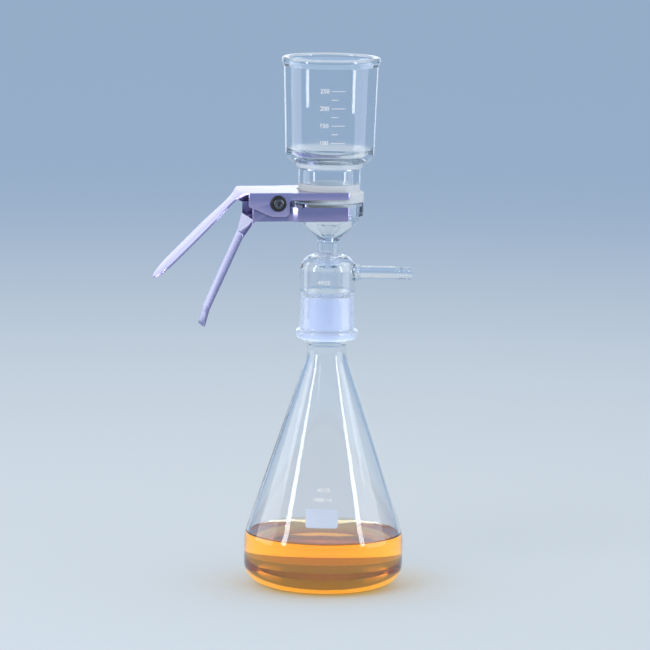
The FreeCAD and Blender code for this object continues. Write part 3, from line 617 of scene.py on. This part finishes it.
def make_scale():
    """The funnel's scale: a long tick and its number at each 50 mL and a short tick half way between, at
    even heights on the bowl's wall."""
    lowest = BOWL_BASE + SCALE_BASE
    highest = node_box("funnel_graduations")[1][2] - SCALE_HEADROOM
    heights = np.linspace(lowest, highest, 2 * len(SCALE_VOLUMES) - 1)
    marks = []
    for i, height in enumerate(heights):
        volume, short = divmod(i, 2)
        length = SHORT_TICK if short else LONG_TICK
        centre = FRONT + TICK_LEFT + length / 2 / bowl_radius(height)
        marks.append(on_wall(flat_patch(length, TICK_WIDTH, 0.2), bowl_radius, centre, height))
        if not short:
            number = letters(str(SCALE_VOLUMES[volume]), NUMBER_SIZE)
            marks.append(on_wall(number, bowl_radius, FRONT - NUMBER_LEFT / bowl_radius(height), height))
    return join_marks("funnel_scale", marks)


def make_writing_patch():
    """The flask's blank writing patch: a rounded rectangle of enamel laid on the conical wall."""
    low, high = node_box("flask_marking_spot")
    patch = flat_patch(PATCH_WIDTH, high[2] - low[2], 1.6)
    return join_marks("writing_patch", [on_wall(patch, cone_radius, PATCH_ANGLE, (low[2] + high[2]) / 2)])


def make_flask_sizes():
    """The flask's volume and joint size, laid on the conical wall above its writing patch."""
    volume = on_wall(letters("1000 mL", LETTER_SIZE), cone_radius, SIZES_ANGLE, VOLUME_HEIGHT)
    joint = on_wall(letters("40/35", LETTER_SIZE), cone_radius, SIZES_ANGLE, JOINT_SIZE_HEIGHT)
    return join_marks("flask_sizes", [volume, joint])


def make_dome_size():
    """The cap's joint size, laid on the front of its dome."""
    joint = on_wall(letters("40/35", LETTER_SIZE), dome_radius, DOME_SIZE_ANGLE, DOME_SIZE_HEIGHT)
    return join_marks("cap_size", [joint])


# ---------------- clamp

BEND_WIDTH = 2.2 * MM
TRIM_WIDTH = 0.3 * MM
MERGE_WIDTH = 0.002 * MM
ON_FACE = 0.02 * MM  # how close to the web's face an edge has to lie to be on it
FLAT_TURN = math.radians(1)
SHARP_TURN = math.radians(40)
UPRIGHT = 0.3  # a wall's normal rises less than this
SIDEWAYS = 0.35  # a side wall's normal points across the clamp by more than this
TALL_WALL = 3.0 * MM


def edge_weight(edge, web_face, across):
    """How wide an edge of the bent sheet is rounded: fully on the bends between the web and the tall side
    walls, slightly on the other sharp edges, and not at all where it is flat or hollow."""
    if len(edge.link_faces) != 2 or not edge.is_convex or edge.calc_face_angle(0) < SHARP_TURN:
        return 0.0
    on_web = all(abs(vert.co.z - web_face * MM) < ON_FACE for vert in edge.verts)
    walls = [face for face in edge.link_faces if abs(face.normal.z) < UPRIGHT]
    heights = [[vert.co.z for vert in face.verts] for face in walls]
    tall = walls and all(max(height) - min(height) > TALL_WALL for height in heights)
    sideways = any(abs(face.normal.dot(across)) > SIDEWAYS for face in walls)
    return 1.0 if on_web and tall and sideways else TRIM_WIDTH / BEND_WIDTH


def make_arm(side, web_face):
    """A merged copy of the upper or lower arm's mesh with its flat faces joined and its edges rounded by
    their weight."""
    name = f"{side}_arm_metal"
    bm = bmesh.new()
    bm.from_mesh(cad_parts[f"clamp_{side}_arm"].data)
    bmesh.ops.remove_doubles(bm, verts=bm.verts, dist=MERGE_WIDTH)
    bmesh.ops.dissolve_limit(bm, angle_limit=FLAT_TURN, verts=bm.verts, edges=bm.edges)
    across = Vector((-math.sin(CLAMP_TURN), math.cos(CLAMP_TURN), 0))
    weight = bm.edges.layers.float.new("bevel_weight_edge")
    for edge in bm.edges:
        edge[weight] = edge_weight(edge, web_face, across)
    mesh = bpy.data.meshes.new(name)
    bm.to_mesh(mesh)
    bm.free()
    mesh.shade_smooth()
    piece = bpy.data.objects.new(name, mesh)
    bpy.context.collection.objects.link(piece)
    bevel = piece.modifiers.new("bends", "BEVEL")
    bevel.limit_method = "WEIGHT"
    bevel.width = BEND_WIDTH
    bevel.segments = 4
    bevel.use_clamp_overlap = True
    bevel.harden_normals = True
    return piece


def make_rivet():
    """Tubular rivet with a rolled head at each end: one profile carried round the clamp's pivot axis."""
    seat = EAR_HALF + WASHER_THICKNESS + 0.1
    end = seat + RIVET_HEAD_HEIGHT
    corners = [
        (RIVET_BORE, -end, 0.45),
        (RIVET_HEAD, -end, 0.65),
        (RIVET_HEAD, -seat, 0.3),
        (RIVET_RADIUS, -seat, 0.05),
        (RIVET_RADIUS, seat, 0.05),
        (RIVET_HEAD, seat, 0.3),
        (RIVET_HEAD, end, 0.65),
        (RIVET_BORE, end, 0.45),
    ]
    return lathe("rivet_metal", corners, place=on_pivot, around=AROUND_PIN)


def make_washer(name, side):
    """Thick domed washer under one of the rivet's heads: its section carried round the pivot axis."""
    near = EAR_HALF + FREE
    far = near + WASHER_THICKNESS
    corners = [
        (RIVET_HOLE, side * near, 0.1),
        (WASHER_RADIUS, side * near, 0.25),
        (WASHER_RADIUS, side * far, 0.7),
        (RIVET_HOLE, side * far, 0.1),
    ]
    return lathe(name, corners, place=on_pivot, around=AROUND_TUBE)


def make_spool():
    """Sleeve on the rivet that carries the spring: its section carried round the pivot axis."""
    half = EAR_HALF - 2 * SHEET - 0.35
    corners = [
        (RIVET_HOLE, -half, 0.2),
        (SPOOL_RADIUS, -half, 0.4),
        (SPOOL_RADIUS, half, 0.4),
        (RIVET_HOLE, half, 0.2),
    ]
    return lathe("spool_plastic", corners, place=on_pivot, around=AROUND_PIN)


def leg_angle(height):
    """The angle at which a straight leg leaves the coil to end at a height from the pivot: the slope of the
    line from the axis to the leg's end, less the angle between that line and the leg."""
    return math.asin(height / math.hypot(COIL_RADIUS, SPRING_LEG)) - math.atan2(COIL_RADIUS, SPRING_LEG)


def make_spring():
    """Torsion spring: a circle carried along a straight leg, a helix round the rivet and a second leg, all
    square to the path."""
    stand_off = WEB_CLEARANCE + WIRE_RADIUS
    up = leg_angle(UPPER_WEB_TOP - SHEET - PIVOT_HEIGHT - stand_off)
    down = leg_angle(PIVOT_HEIGHT - LOWER_WEB_BASE - SHEET - stand_off)
    turns = COIL_TURNS + 0.5 - (up + down) / (2 * math.pi)
    angle = np.linspace(0, 2 * math.pi * turns, 300)[:, None]
    first = np.array([math.sin(down), 0, -math.cos(down)])
    second = np.array([math.cos(down), 0, math.sin(down)])
    axis = np.array([0, -1.0, 0])
    climb = COIL_PITCH / (2 * math.pi)
    along_axis = axis * climb * (angle - math.pi * turns)
    coil = COIL_RADIUS * (np.cos(angle) * first + np.sin(angle) * second) + along_axis
    low_way = np.array([math.cos(down), -climb / COIL_RADIUS, math.sin(down)])
    high_way = np.array([-math.cos(up), -climb / COIL_RADIUS, math.sin(up)])
    reach = SPRING_LEG - LEG_ROWS[:, None]
    low_leg = coil[0] - low_way / np.linalg.norm(low_way) * reach
    high_leg = coil[-1] + high_way / np.linalg.norm(high_way) * reach[::-1]
    path = np.concatenate([low_leg, coil, high_leg])
    middle_count = len(path) - 2 * len(TIP_SHARES)
    thick = WIRE_RADIUS * np.concatenate([TIP_SHARES, np.ones(middle_count), TIP_SHARES[::-1]])
    way = np.gradient(path, axis=0)
    way /= np.linalg.norm(way, axis=1)[:, None]
    side = axis - (way @ axis)[:, None] * way
    side /= np.linalg.norm(side, axis=1)[:, None]
    other = np.cross(way, side)
    turn = np.linspace(0, 2 * math.pi, 16, endpoint=False)[:, None]
    ring = np.cos(turn) * side[:, None] + np.sin(turn) * other[:, None]
    points, faces, _ = skin(path[:, None] + thick[:, None, None] * ring, closed_rows=False)
    x, y, z = points.T
    return add_piece("spring_wire", on_pivot(np.stack([x, -z, y], axis=1)), faces)


# ---------------- shader groups

MIX_UNDER, MIX_OVER, MIX_RESULT = 6, 7, 2  # the Mix node's colour sockets


def add_node(tree, kind, inputs=None, **settings):
    """Adds a node, sets its properties, and fills or links its inputs."""
    node = tree.nodes.new(kind)
    for key, value in settings.items():
        setattr(node, key, value)
    for key, value in (inputs or {}).items():
        if isinstance(value, bpy.types.NodeSocket):
            tree.links.new(value, node.inputs[key])
        else:
            node.inputs[key].default_value = value
    return node


def compute(tree, operation, *terms, **settings):
    """The result of a Math node for its terms."""
    inputs = dict(enumerate(terms))
    return add_node(tree, "ShaderNodeMath", inputs, operation=operation, **settings).outputs[0]


def stretch(tree, value, **ends):
    """A value carried from its own range to another, with the ends given as From_Min, To_Max and so on."""
    inputs = {key.replace("_", " "): end for key, end in ends.items()}
    return add_node(tree, "ShaderNodeMapRange", {"Value": value, **inputs}).outputs["Result"]


def own_place(tree):
    """The surface point in the piece's own coordinates."""
    return add_node(tree, "ShaderNodeTexCoord").outputs["Object"]


def soft_noise(tree, place, scale, detail):
    """Noise at a place, about one half."""
    inputs = {"Vector": place, "Scale": scale, "Detail": detail}
    return add_node(tree, "ShaderNodeTexNoise", inputs).outputs["Fac"]


def new_group(name, inputs, output):
    """An empty shader group with named inputs (name, default) and one named output. Gives the tree, its
    input sockets by name, and its output socket."""
    tree = bpy.data.node_groups.new(name, "ShaderNodeTree")
    for socket_name, default in inputs:
        socket = tree.interface.new_socket(name=socket_name, in_out="INPUT", socket_type="NodeSocketFloat")
        socket.default_value = default
    tree.interface.new_socket(name=output, in_out="OUTPUT", socket_type="NodeSocketFloat")
    entry, leave = tree.nodes.new("NodeGroupInput"), tree.nodes.new("NodeGroupOutput")
    return tree, entry.outputs, leave.inputs[output]


def make_grain_group():
    """Fine grain: the mean of two layers of noise, the finer one four times as dense."""
    tree, given, height = new_group("fine grain", [("Scale", 2000.0)], "Height")
    place = own_place(tree)
    coarse = soft_noise(tree, place, given["Scale"], 3.0)
    fine = soft_noise(tree, place, compute(tree, "MULTIPLY", given["Scale"], 4.0), 2.0)
    tree.links.new(compute(tree, "MULTIPLY", compute(tree, "ADD", coarse, fine), 0.5), height)
    return tree


def make_cloud_group():
    """Slow unevenness: broad noise stretched to the range that is asked for."""
    inputs = [("Scale", 40.0), ("Low", 0.0), ("High", 1.0)]
    tree, given, value = new_group("slow unevenness", inputs, "Value")
    noise = soft_noise(tree, own_place(tree), given["Scale"], 4.0)
    spread = stretch(tree, noise, From_Min=0.3, From_Max=0.7, To_Min=given["Low"], To_Max=given["High"])
    tree.links.new(spread, value)
    return tree


def make_wear_group():
    """Edge wear: where the surface is sharply convex, broken up by noise."""
    tree, given, mask = new_group("edge wear", [("Scale", 900.0), ("Amount", 1.0)], "Mask")
    sharp = add_node(tree, "ShaderNodeNewGeometry").outputs["Pointiness"]
    edge = stretch(tree, sharp, From_Min=0.52, From_Max=0.62)
    noise = soft_noise(tree, own_place(tree), given["Scale"], 4.0)
    patch = stretch(tree, noise, From_Min=0.4, From_Max=0.65)
    both = compute(tree, "MULTIPLY", edge, patch)
    tree.links.new(compute(tree, "MULTIPLY", both, given["Amount"], use_clamp=True), mask)
    return tree


def make_fold_group():
    """Painted shade where two surfaces come close: how little open sky a point has within a short reach."""
    tree, given, mask = new_group("shade in folds", [("Reach", 0.006)], "Mask")
    sky = add_node(tree, "ShaderNodeAmbientOcclusion", {"Distance": given["Reach"]}, samples=8)
    tree.links.new(stretch(tree, sky.outputs["AO"], From_Min=0.85, From_Max=0.25), mask)
    return tree


def make_streak_group():
    """Rolling streaks of sheet metal: noise drawn out along the clamp's length."""
    tree, given, value = new_group("rolling streaks", [("Scale", 1500.0)], "Value")
    drawn_out = {"Vector": own_place(tree), "Rotation": (0, 0, -CLAMP_TURN), "Scale": (0.03, 1.0, 1.0)}
    along = add_node(tree, "ShaderNodeMapping", drawn_out).outputs[0]
    tree.links.new(soft_noise(tree, along, given["Scale"], 3.0), value)
    return tree


GRAIN = make_grain_group()
CLOUD = make_cloud_group()
WEAR = make_wear_group()
# painted shade: a mask that darkens a colour where surfaces come close
FOLD_SHADE = make_fold_group()
STREAK = make_streak_group()


def place_group(tree, group, output, **values):
    """Places a shader group with its own values and gives the named output."""
    return add_node(tree, "ShaderNodeGroup", values, node_tree=group).outputs[output]


def cloud(tree, scale, low=0.0, high=1.0):
    """Slow unevenness between two numbers."""
    return place_group(tree, CLOUD, "Value", Scale=scale, Low=low, High=high)


def new_material(name, **values):
    """A material with a Principled BSDF, whose plain values are given by socket name."""
    material = bpy.data.materials.new(name)
    material.use_nodes = True
    tree = material.node_tree
    shader = tree.nodes["Principled BSDF"]
    for key, value in values.items():
        shader.inputs[key.replace("_", " ")].default_value = value
    return material, tree, shader


def blend_colours(tree, mask, low, high):
    """A colour that goes with a mask from low, which may be another node's colour, to high."""
    under = low if isinstance(low, bpy.types.NodeSocket) else (*low, 1)
    inputs = {"Factor": mask, MIX_UNDER: under, MIX_OVER: (*high, 1)}
    return add_node(tree, "ShaderNodeMix", inputs, data_type="RGBA").outputs[MIX_RESULT]


def raise_bump(tree, shader, height, strength, distance):
    """Feeds a height into the shader's normal."""
    bump = add_node(tree, "ShaderNodeBump", {"Height": height, "Strength": strength, "Distance": distance})
    tree.links.new(bump.outputs["Normal"], shader.inputs["Normal"])


def any_ray(tree, *kinds):
    """1 for a ray of any of the kinds: the largest of the light path's marks for them."""
    path = add_node(tree, "ShaderNodeLightPath")
    chosen, *others = [path.outputs[kind] for kind in kinds]
    for other in others:
        chosen = compute(tree, "MAXIMUM", chosen, other)
    return chosen


def let_light_through(tree, shader, tint):
    """Lets the light that falls on things inside or behind clear stuff pass straight through it, tinted."""
    straight = any_ray(tree, "Is Shadow Ray", "Is Diffuse Ray")
    clear = add_node(tree, "ShaderNodeBsdfTransparent", {"Color": (*tint, 1)})
    mix = add_node(tree, "ShaderNodeMixShader", {0: straight, 1: shader.outputs[0], 2: clear.outputs[0]})
    tree.links.new(mix.outputs[0], tree.nodes["Material Output"].inputs["Surface"])


def absorb(tree, colour, density):
    """Colours what passes through by the length of its way."""
    volume = add_node(tree, "ShaderNodeVolumeAbsorption", {"Color": (*colour, 1), "Density": density})
    tree.links.new(volume.outputs[0], tree.nodes["Material Output"].inputs["Volume"])


# ---------------- finishes


def clear_glass():
    """Blown borosilicate glass, frosted where its mesh says so."""
    material, tree, shader = new_material("clear glass", IOR=1.473, Transmission_Weight=1.0)
    frosted = add_node(tree, "ShaderNodeAttribute", attribute_name="frosted").outputs["Fac"]
    film = cloud(tree, scale=60.0, high=0.035)
    tree.links.new(compute(tree, "MULTIPLY_ADD", frosted, 0.55, film), shader.inputs["Roughness"])
    grain = place_group(tree, GRAIN, "Height", Scale=2500.0)
    frost = compute(tree, "MULTIPLY", frosted, grain)
    height = compute(tree, "MULTIPLY_ADD", frost, 0.25, cloud(tree, scale=22.0))
    raise_bump(tree, shader, height, strength=0.5, distance=0.00012)
    matt = blend_colours(tree, frosted, (0.98, 0.99, 1.0), (0.64, 0.69, 0.84))
    tree.links.new(matt, shader.inputs["Base Color"])
    let_light_through(tree, shader, tint=(0.965, 0.975, 0.98))
    absorb(tree, (0.45, 0.62, 0.72), density=12.0)
    return material


def amber_liquid():
    """Clear amber filtrate that deepens with the length of the way through it."""
    material, tree, shader = new_material(
        "amber filtrate", Base_Color=(1.0, 0.97, 0.88, 1), IOR=1.333, Transmission_Weight=1.0
    )
    tree.links.new(cloud(tree, scale=35.0, high=0.02), shader.inputs["Roughness"])
    raise_bump(tree, shader, cloud(tree, scale=14.0), strength=0.3, distance=0.0002)
    let_light_through(tree, shader, tint=(1.0, 0.86, 0.45))
    absorb(tree, (0.995, 0.80, 0.08), density=50.0)
    return material


def uneven_coat(name, colour, spread, scale, values):
    """A new material with its slow unevenness, and its colour, darker by the spread where that is low."""
    material, tree, shader = new_material(name, **values)
    slow = cloud(tree, scale)
    darker = tuple(channel * (1 - spread) for channel in colour)
    return material, tree, shader, slow, blend_colours(tree, slow, darker, colour)


def vary_gloss(tree, shader, mask, rough, below, above):
    """Roughness that goes with a mask, between two shares of its plain value."""
    gloss = stretch(tree, mask, To_Min=rough * below, To_Max=rough * above)
    tree.links.new(gloss, shader.inputs["Roughness"])


def plain_finish(name, colour, spread, rough, grain_scale, bump, deep=0.00005, **values):
    """An opaque finish: slow change of colour and roughness, with fine grain."""
    material, tree, shader, slow, body = uneven_coat(name, colour, spread, 90.0, values)
    tree.links.new(body, shader.inputs["Base Color"])
    vary_gloss(tree, shader, slow, rough, 0.85, 1.15)
    raise_bump(tree, shader, place_group(tree, GRAIN, "Height", Scale=grain_scale), bump, deep)
    return material


def worn_finish(name, colour, worn, rough, bump, wear, **values):
    """A finish with grain, slow unevenness and edges rubbed to another colour."""
    material, tree, shader, slow, body = uneven_coat(name, colour, 0.06, 70.0, values)
    mask = place_group(tree, WEAR, "Mask", Scale=900.0, Amount=wear)
    tree.links.new(blend_colours(tree, mask, body, worn), shader.inputs["Base Color"])
    vary_gloss(tree, shader, slow, rough, 0.85, 1.2)
    raise_bump(tree, shader, place_group(tree, GRAIN, "Height", Scale=2500.0), bump, 0.00003)
    return material


def anodised_sheet(name, colour, folds):
    """Rolled aluminium, anodised: slow change of colour, painted shade darkening it in its folds, with
    streaks in its gloss.
    """
    material, tree, shader, slow, body = uneven_coat(name, colour, 0.05, 70.0, {"Metallic": 1.0})
    shade = place_group(tree, FOLD_SHADE, "Mask", Reach=0.006)
    # painted shade: the colour turns to the folds colour where the sheet has little open sky
    tree.links.new(blend_colours(tree, shade, body, folds), shader.inputs["Base Color"])
    streak = place_group(tree, STREAK, "Value", Scale=1500.0)
    vary_gloss(tree, shader, streak, 0.25, 0.8, 1.2)
    raise_bump(tree, shader, streak, strength=0.2, distance=0.00002)
    return material


# What each slot looks like
FINISHES = {
    "clear_glass": clear_glass(),
    "filtrate": amber_liquid(),
    "white_enamel": plain_finish(
        "white enamel", (0.97, 0.98, 1.0), spread=0.03, rough=0.35, grain_scale=3000.0, bump=0.3
    ),
    "sintered_glass": plain_finish(
        "sintered glass", (0.9, 0.9, 0.89), spread=0.08, rough=0.8, grain_scale=1500.0, bump=0.9, deep=0.0002
    ),
    "membrane": plain_finish(
        "membrane", (0.93, 0.93, 0.92), spread=0.04, rough=0.9, grain_scale=4000.0, bump=0.5
    ),
    # folds is the near-black colour of the painted shade in the sheet's folds
    "anodised_aluminium": anodised_sheet(
        "anodised aluminium", (0.45, 0.40, 0.63), folds=(0.04, 0.03, 0.08)
    ),
    "steel": worn_finish(
        "bright steel", (0.68, 0.68, 0.68), (0.8, 0.8, 0.8), rough=0.16, bump=0.15, wear=0.5, Metallic=1.0
    ),
    # painted reflection: the rivet's polished steel darkened to near black for the dark surroundings it
    # reflects
    "dark_steel": worn_finish(
        "steel darkened as painted reflection", (0.16, 0.16, 0.17), (0.3, 0.3, 0.3), rough=0.12, bump=0.1, wear=0.4, Metallic=1.0
    ),
    "black_plastic": worn_finish(
        "black plastic", (0.02, 0.02, 0.022), (0.12, 0.12, 0.12), rough=0.14, bump=0.1, wear=0.4
    ),
}
# Pieces whose finish differs a little from their slot's; the lower arm's darker anodised colour is painted
# shade
# the matt white of the ground glass, also used for the bead's painted highlight
MILKY_AND_HIGHLIGHT = (0.88, 0.93, 1.0)
OWN_FINISHES = {
    "writing_patch": plain_finish(
        "matt writing patch", (0.66, 0.74, 0.90), spread=0.04, rough=0.6, grain_scale=3500.0, bump=0.4
    ),
    "ground_band": plain_finish(
        "ground skin", MILKY_AND_HIGHLIGHT, spread=0.03, rough=0.7, grain_scale=2500.0, bump=0.6, Alpha=0.88
    ),
    # painted highlight: a half-clear white skin standing in for the bright highlights of the clear glass
    # bead
    "bead_highlight_band": plain_finish(
        "painted bead highlight", MILKY_AND_HIGHLIGHT, spread=0.03, rough=0.4, grain_scale=2500.0, bump=0.3, Alpha=0.5
    ),
    # painted shade: the lower arm's anodised aluminium, the same as the upper's, given a darker copy of its
    # colour
    "lower_arm_metal": anodised_sheet(
        "anodised aluminium, painted shade", (0.35, 0.315, 0.515), folds=(0.03, 0.025, 0.06)
    ),
}


# ---------------- the object

# Each piece, the body it moves with, its slot and the node it stands for
PIECES = [
    (make_flask(), "flask", "clear_glass", "receiver_flask"),
    (make_filtrate(), "flask", "filtrate", "filtrate"),
    (make_writing_patch(), "flask", "white_enamel", "flask_marking_spot"),
    (make_flask_sizes(), "flask", "white_enamel", None),
    (make_cap(), "base", "clear_glass", "ground_cap"),
    (make_dome_size(), "base", "white_enamel", None),
    (make_support(), "base", "clear_glass", "filter_support"),
    (make_side_arm(), "base", "clear_glass", "side_arm"),
    (make_frit(), "base", "sintered_glass", "sintered_disc"),
    (make_membrane(), "base", "membrane", "membrane_filter"),
    (make_funnel(), "funnel", "clear_glass", "funnel"),
    (make_ground_band(), "funnel", "clear_glass", None),
    (make_bead_band(), "funnel", "clear_glass", None),
    (make_scale(), "funnel", "white_enamel", "funnel_graduations"),
    (make_arm("upper", UPPER_WEB_TOP), "clamp_upper", "anodised_aluminium", "clamp_upper_arm"),
    (make_arm("lower", LOWER_WEB_BASE), "clamp_lower", "anodised_aluminium", "clamp_lower_arm"),
    (make_rivet(), "clamp_lower", "dark_steel", "pivot_rivet"),
    (make_washer("front_washer_plastic", -1), "clamp_lower", "black_plastic", "front_washer"),
    (make_washer("rear_washer_plastic", 1), "clamp_lower", "black_plastic", "rear_washer"),
    (make_spool(), "clamp_lower", "black_plastic", "spring_spool"),
    (make_spring(), "clamp_lower", "steel", "torsion_spring"),
]
for piece, body, slot, node in PIECES:
    piece.data.materials.append(OWN_FINISHES.get(piece.name, FINISHES[slot]))
    if piece.name == "spring_wire":  # its coil winds between the two arms
        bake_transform(piece)
    else:
        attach(piece, body)
    if node:
        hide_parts(node)


# ---------------- stage, light and camera

FLOOR_RADIUS = 30000.0
FLOOR_DROP = 0.5
NEAR_FLOOR = (0.70, 0.79, 0.88)
BACKDROP = (0.38, 0.52, 0.72)
FADE_START, FADE_END = 0.1, 3.5  # metres from the object between which the floor turns to the backdrop
CAMERA_PLACE = (0, -3.97, 0.775)
CAMERA_TARGET = (-0.0016, 0, 0.2164)
CAMERA_LENS = 270
CAMERA_ROLL = math.radians(0.95)


def make_floor():
    """A broad flat disc to stand on: its rim is a circle, and its colour goes with the distance from the
    object from pale to the backdrop's."""
    angle = np.linspace(0, 2 * math.pi, 64, endpoint=False)
    radius = np.array([FLOOR_RADIUS, 0.0])[:, None]
    level = 0 * radius * angle - FLOOR_DROP
    grid = np.stack([radius * np.cos(angle), radius * np.sin(angle), level], axis=2)
    points, faces, _ = skin(grid, closed_rows=False)
    floor = add_piece("floor", points, faces)
    material, tree, shader = new_material("pale floor", Roughness=0.7, Specular_IOR_Level=0.0)
    away = add_node(tree, "ShaderNodeVectorMath", {0: own_place(tree)}, operation="LENGTH").outputs["Value"]
    fade = {"Value": away, "From Min": FADE_START, "From Max": FADE_END}
    far = add_node(tree, "ShaderNodeMapRange", fade, interpolation_type="SMOOTHERSTEP").outputs["Result"]
    tree.links.new(blend_colours(tree, far, NEAR_FLOOR, BACKDROP), shader.inputs["Base Color"])
    floor.data.materials.append(material)


def make_world():
    """Even pale surroundings: what is seen has the backdrop's colour, what lights is neutral."""
    world = bpy.data.worlds.new("studio")
    bpy.context.scene.world = world
    world.use_nodes = True
    tree = world.node_tree
    light = tree.nodes["Background"]
    light.inputs["Color"].default_value = (1.0, 1.0, 1.0, 1)
    light.inputs["Strength"].default_value = 0.8
    seen = add_node(tree, "ShaderNodeBackground", {"Color": (*BACKDROP, 1), "Strength": 0.95})
    looked = any_ray(tree, "Is Camera Ray", "Is Glossy Ray", "Is Transmission Ray")
    mix = add_node(tree, "ShaderNodeMixShader", {0: looked, 1: light.outputs[0], 2: seen.outputs[0]})
    tree.links.new(mix.outputs[0], tree.nodes["World Output"].inputs["Surface"])


def add_panel(name, place, target, width, height, radiance, seen_in, colour):
    """A soft light panel of a given brightness, facing a point and hidden from the camera. seen_in names
    what it works on: "diffuse" surfaces, "glossy" reflections and the view in "transmission"."""
    light = bpy.data.lights.new(name, "AREA")
    light.shape = "RECTANGLE"
    light.size, light.size_y = width, height
    light.energy = radiance * math.pi * width * height
    light.color = colour
    panel = bpy.data.objects.new(name, light)
    panel.location = place
    panel.rotation_euler = (Vector(target) - Vector(place)).to_track_quat("-Z", "Y").to_euler()
    panel.visible_camera = False
    panel.visible_diffuse = "diffuse" in seen_in
    panel.visible_glossy = "glossy" in seen_in
    panel.visible_transmission = "transmission" in seen_in
    bpy.context.collection.objects.link(panel)


def make_camera():
    """A long lens at the height of a seated viewer's eyes, turned by the object's slight lean."""
    data = bpy.data.cameras.new("camera")
    data.lens = CAMERA_LENS
    data.sensor_width = 36
    camera = bpy.data.objects.new("camera", data)
    camera.location = CAMERA_PLACE
    look = (Vector(CAMERA_TARGET) - camera.location).to_track_quat("-Z", "Y")
    camera.rotation_mode = "QUATERNION"
    camera.rotation_quaternion = look @ Quaternion(Vector((0, 0, 1)), CAMERA_ROLL)
    bpy.context.collection.objects.link(camera)
    bpy.context.scene.camera = camera


make_floor()
make_world()
WHITE = (1.0, 1.0, 1.0)
COOL = (0.94, 0.95, 1.0)
GLOSS = ("glossy",)
CLEAR = ("transmission",)
# Each panel: its place, what it faces, its width and height, its brightness, what it works on, its colour.
# Those that show through glass stay above the object, so that no level view through it meets them, apart
# from the card that stands close behind the liquid.
PANELS = [
    ("left_panel", (-1.3, 0.15, 0.95), (0, 0.02, 0.95), 0.9, 1.85, 2.4, GLOSS, COOL),
    ("right_panel", (1.3, -0.15, 0.95), (0, 0.02, 0.95), 0.9, 1.85, 2.4, GLOSS, COOL),
    ("left_strip", (-1.29, -0.77, 0.87), (0, 0, 0.87), 0.22, 1.4, 13.0, GLOSS, COOL),
    ("right_strip", (1.29, -0.77, 0.87), (0, 0, 0.87), 0.22, 1.4, 13.0, GLOSS, COOL),
    ("back_panel", (-0.2, 2.8, 1.25), (-0.2, 0, 1.25), 2.8, 2.5, 1.2, GLOSS, COOL),
    ("left_glow", (-1.3, 0.3, 1.2), (0, 0, 1.2), 0.9, 1.4, 2.4, CLEAR, COOL),
    ("right_glow", (1.3, 0.3, 1.2), (0, 0, 1.2), 0.9, 1.4, 2.4, CLEAR, COOL),
    ("back_glow", (-0.2, 2.8, 1.5), (-0.2, 0, 1.5), 2.8, 2.0, 1.6, CLEAR, COOL),
    ("liquid_card", (0, 0.068, 0.024), (0, 0, 0.024), 0.09, 0.017, 1.1, CLEAR, WHITE),
    ("key", (-1.4, -1.6, 1.9), (0, 0, 0.2), 1.2, 1.2, 3.0, ("diffuse", "glossy"), WHITE),
]
for panel in PANELS:
    add_panel(*panel)
make_camera()

scene = bpy.context.scene
scene.view_settings.view_transform = "Standard"
scene.cycles.max_bounces = 32
scene.cycles.transmission_bounces = 32
scene.cycles.transparent_max_bounces = 32
scene.cycles.glossy_bounces = 8
scene.cycles.caustics_reflective = False
scene.cycles.caustics_refractive = False
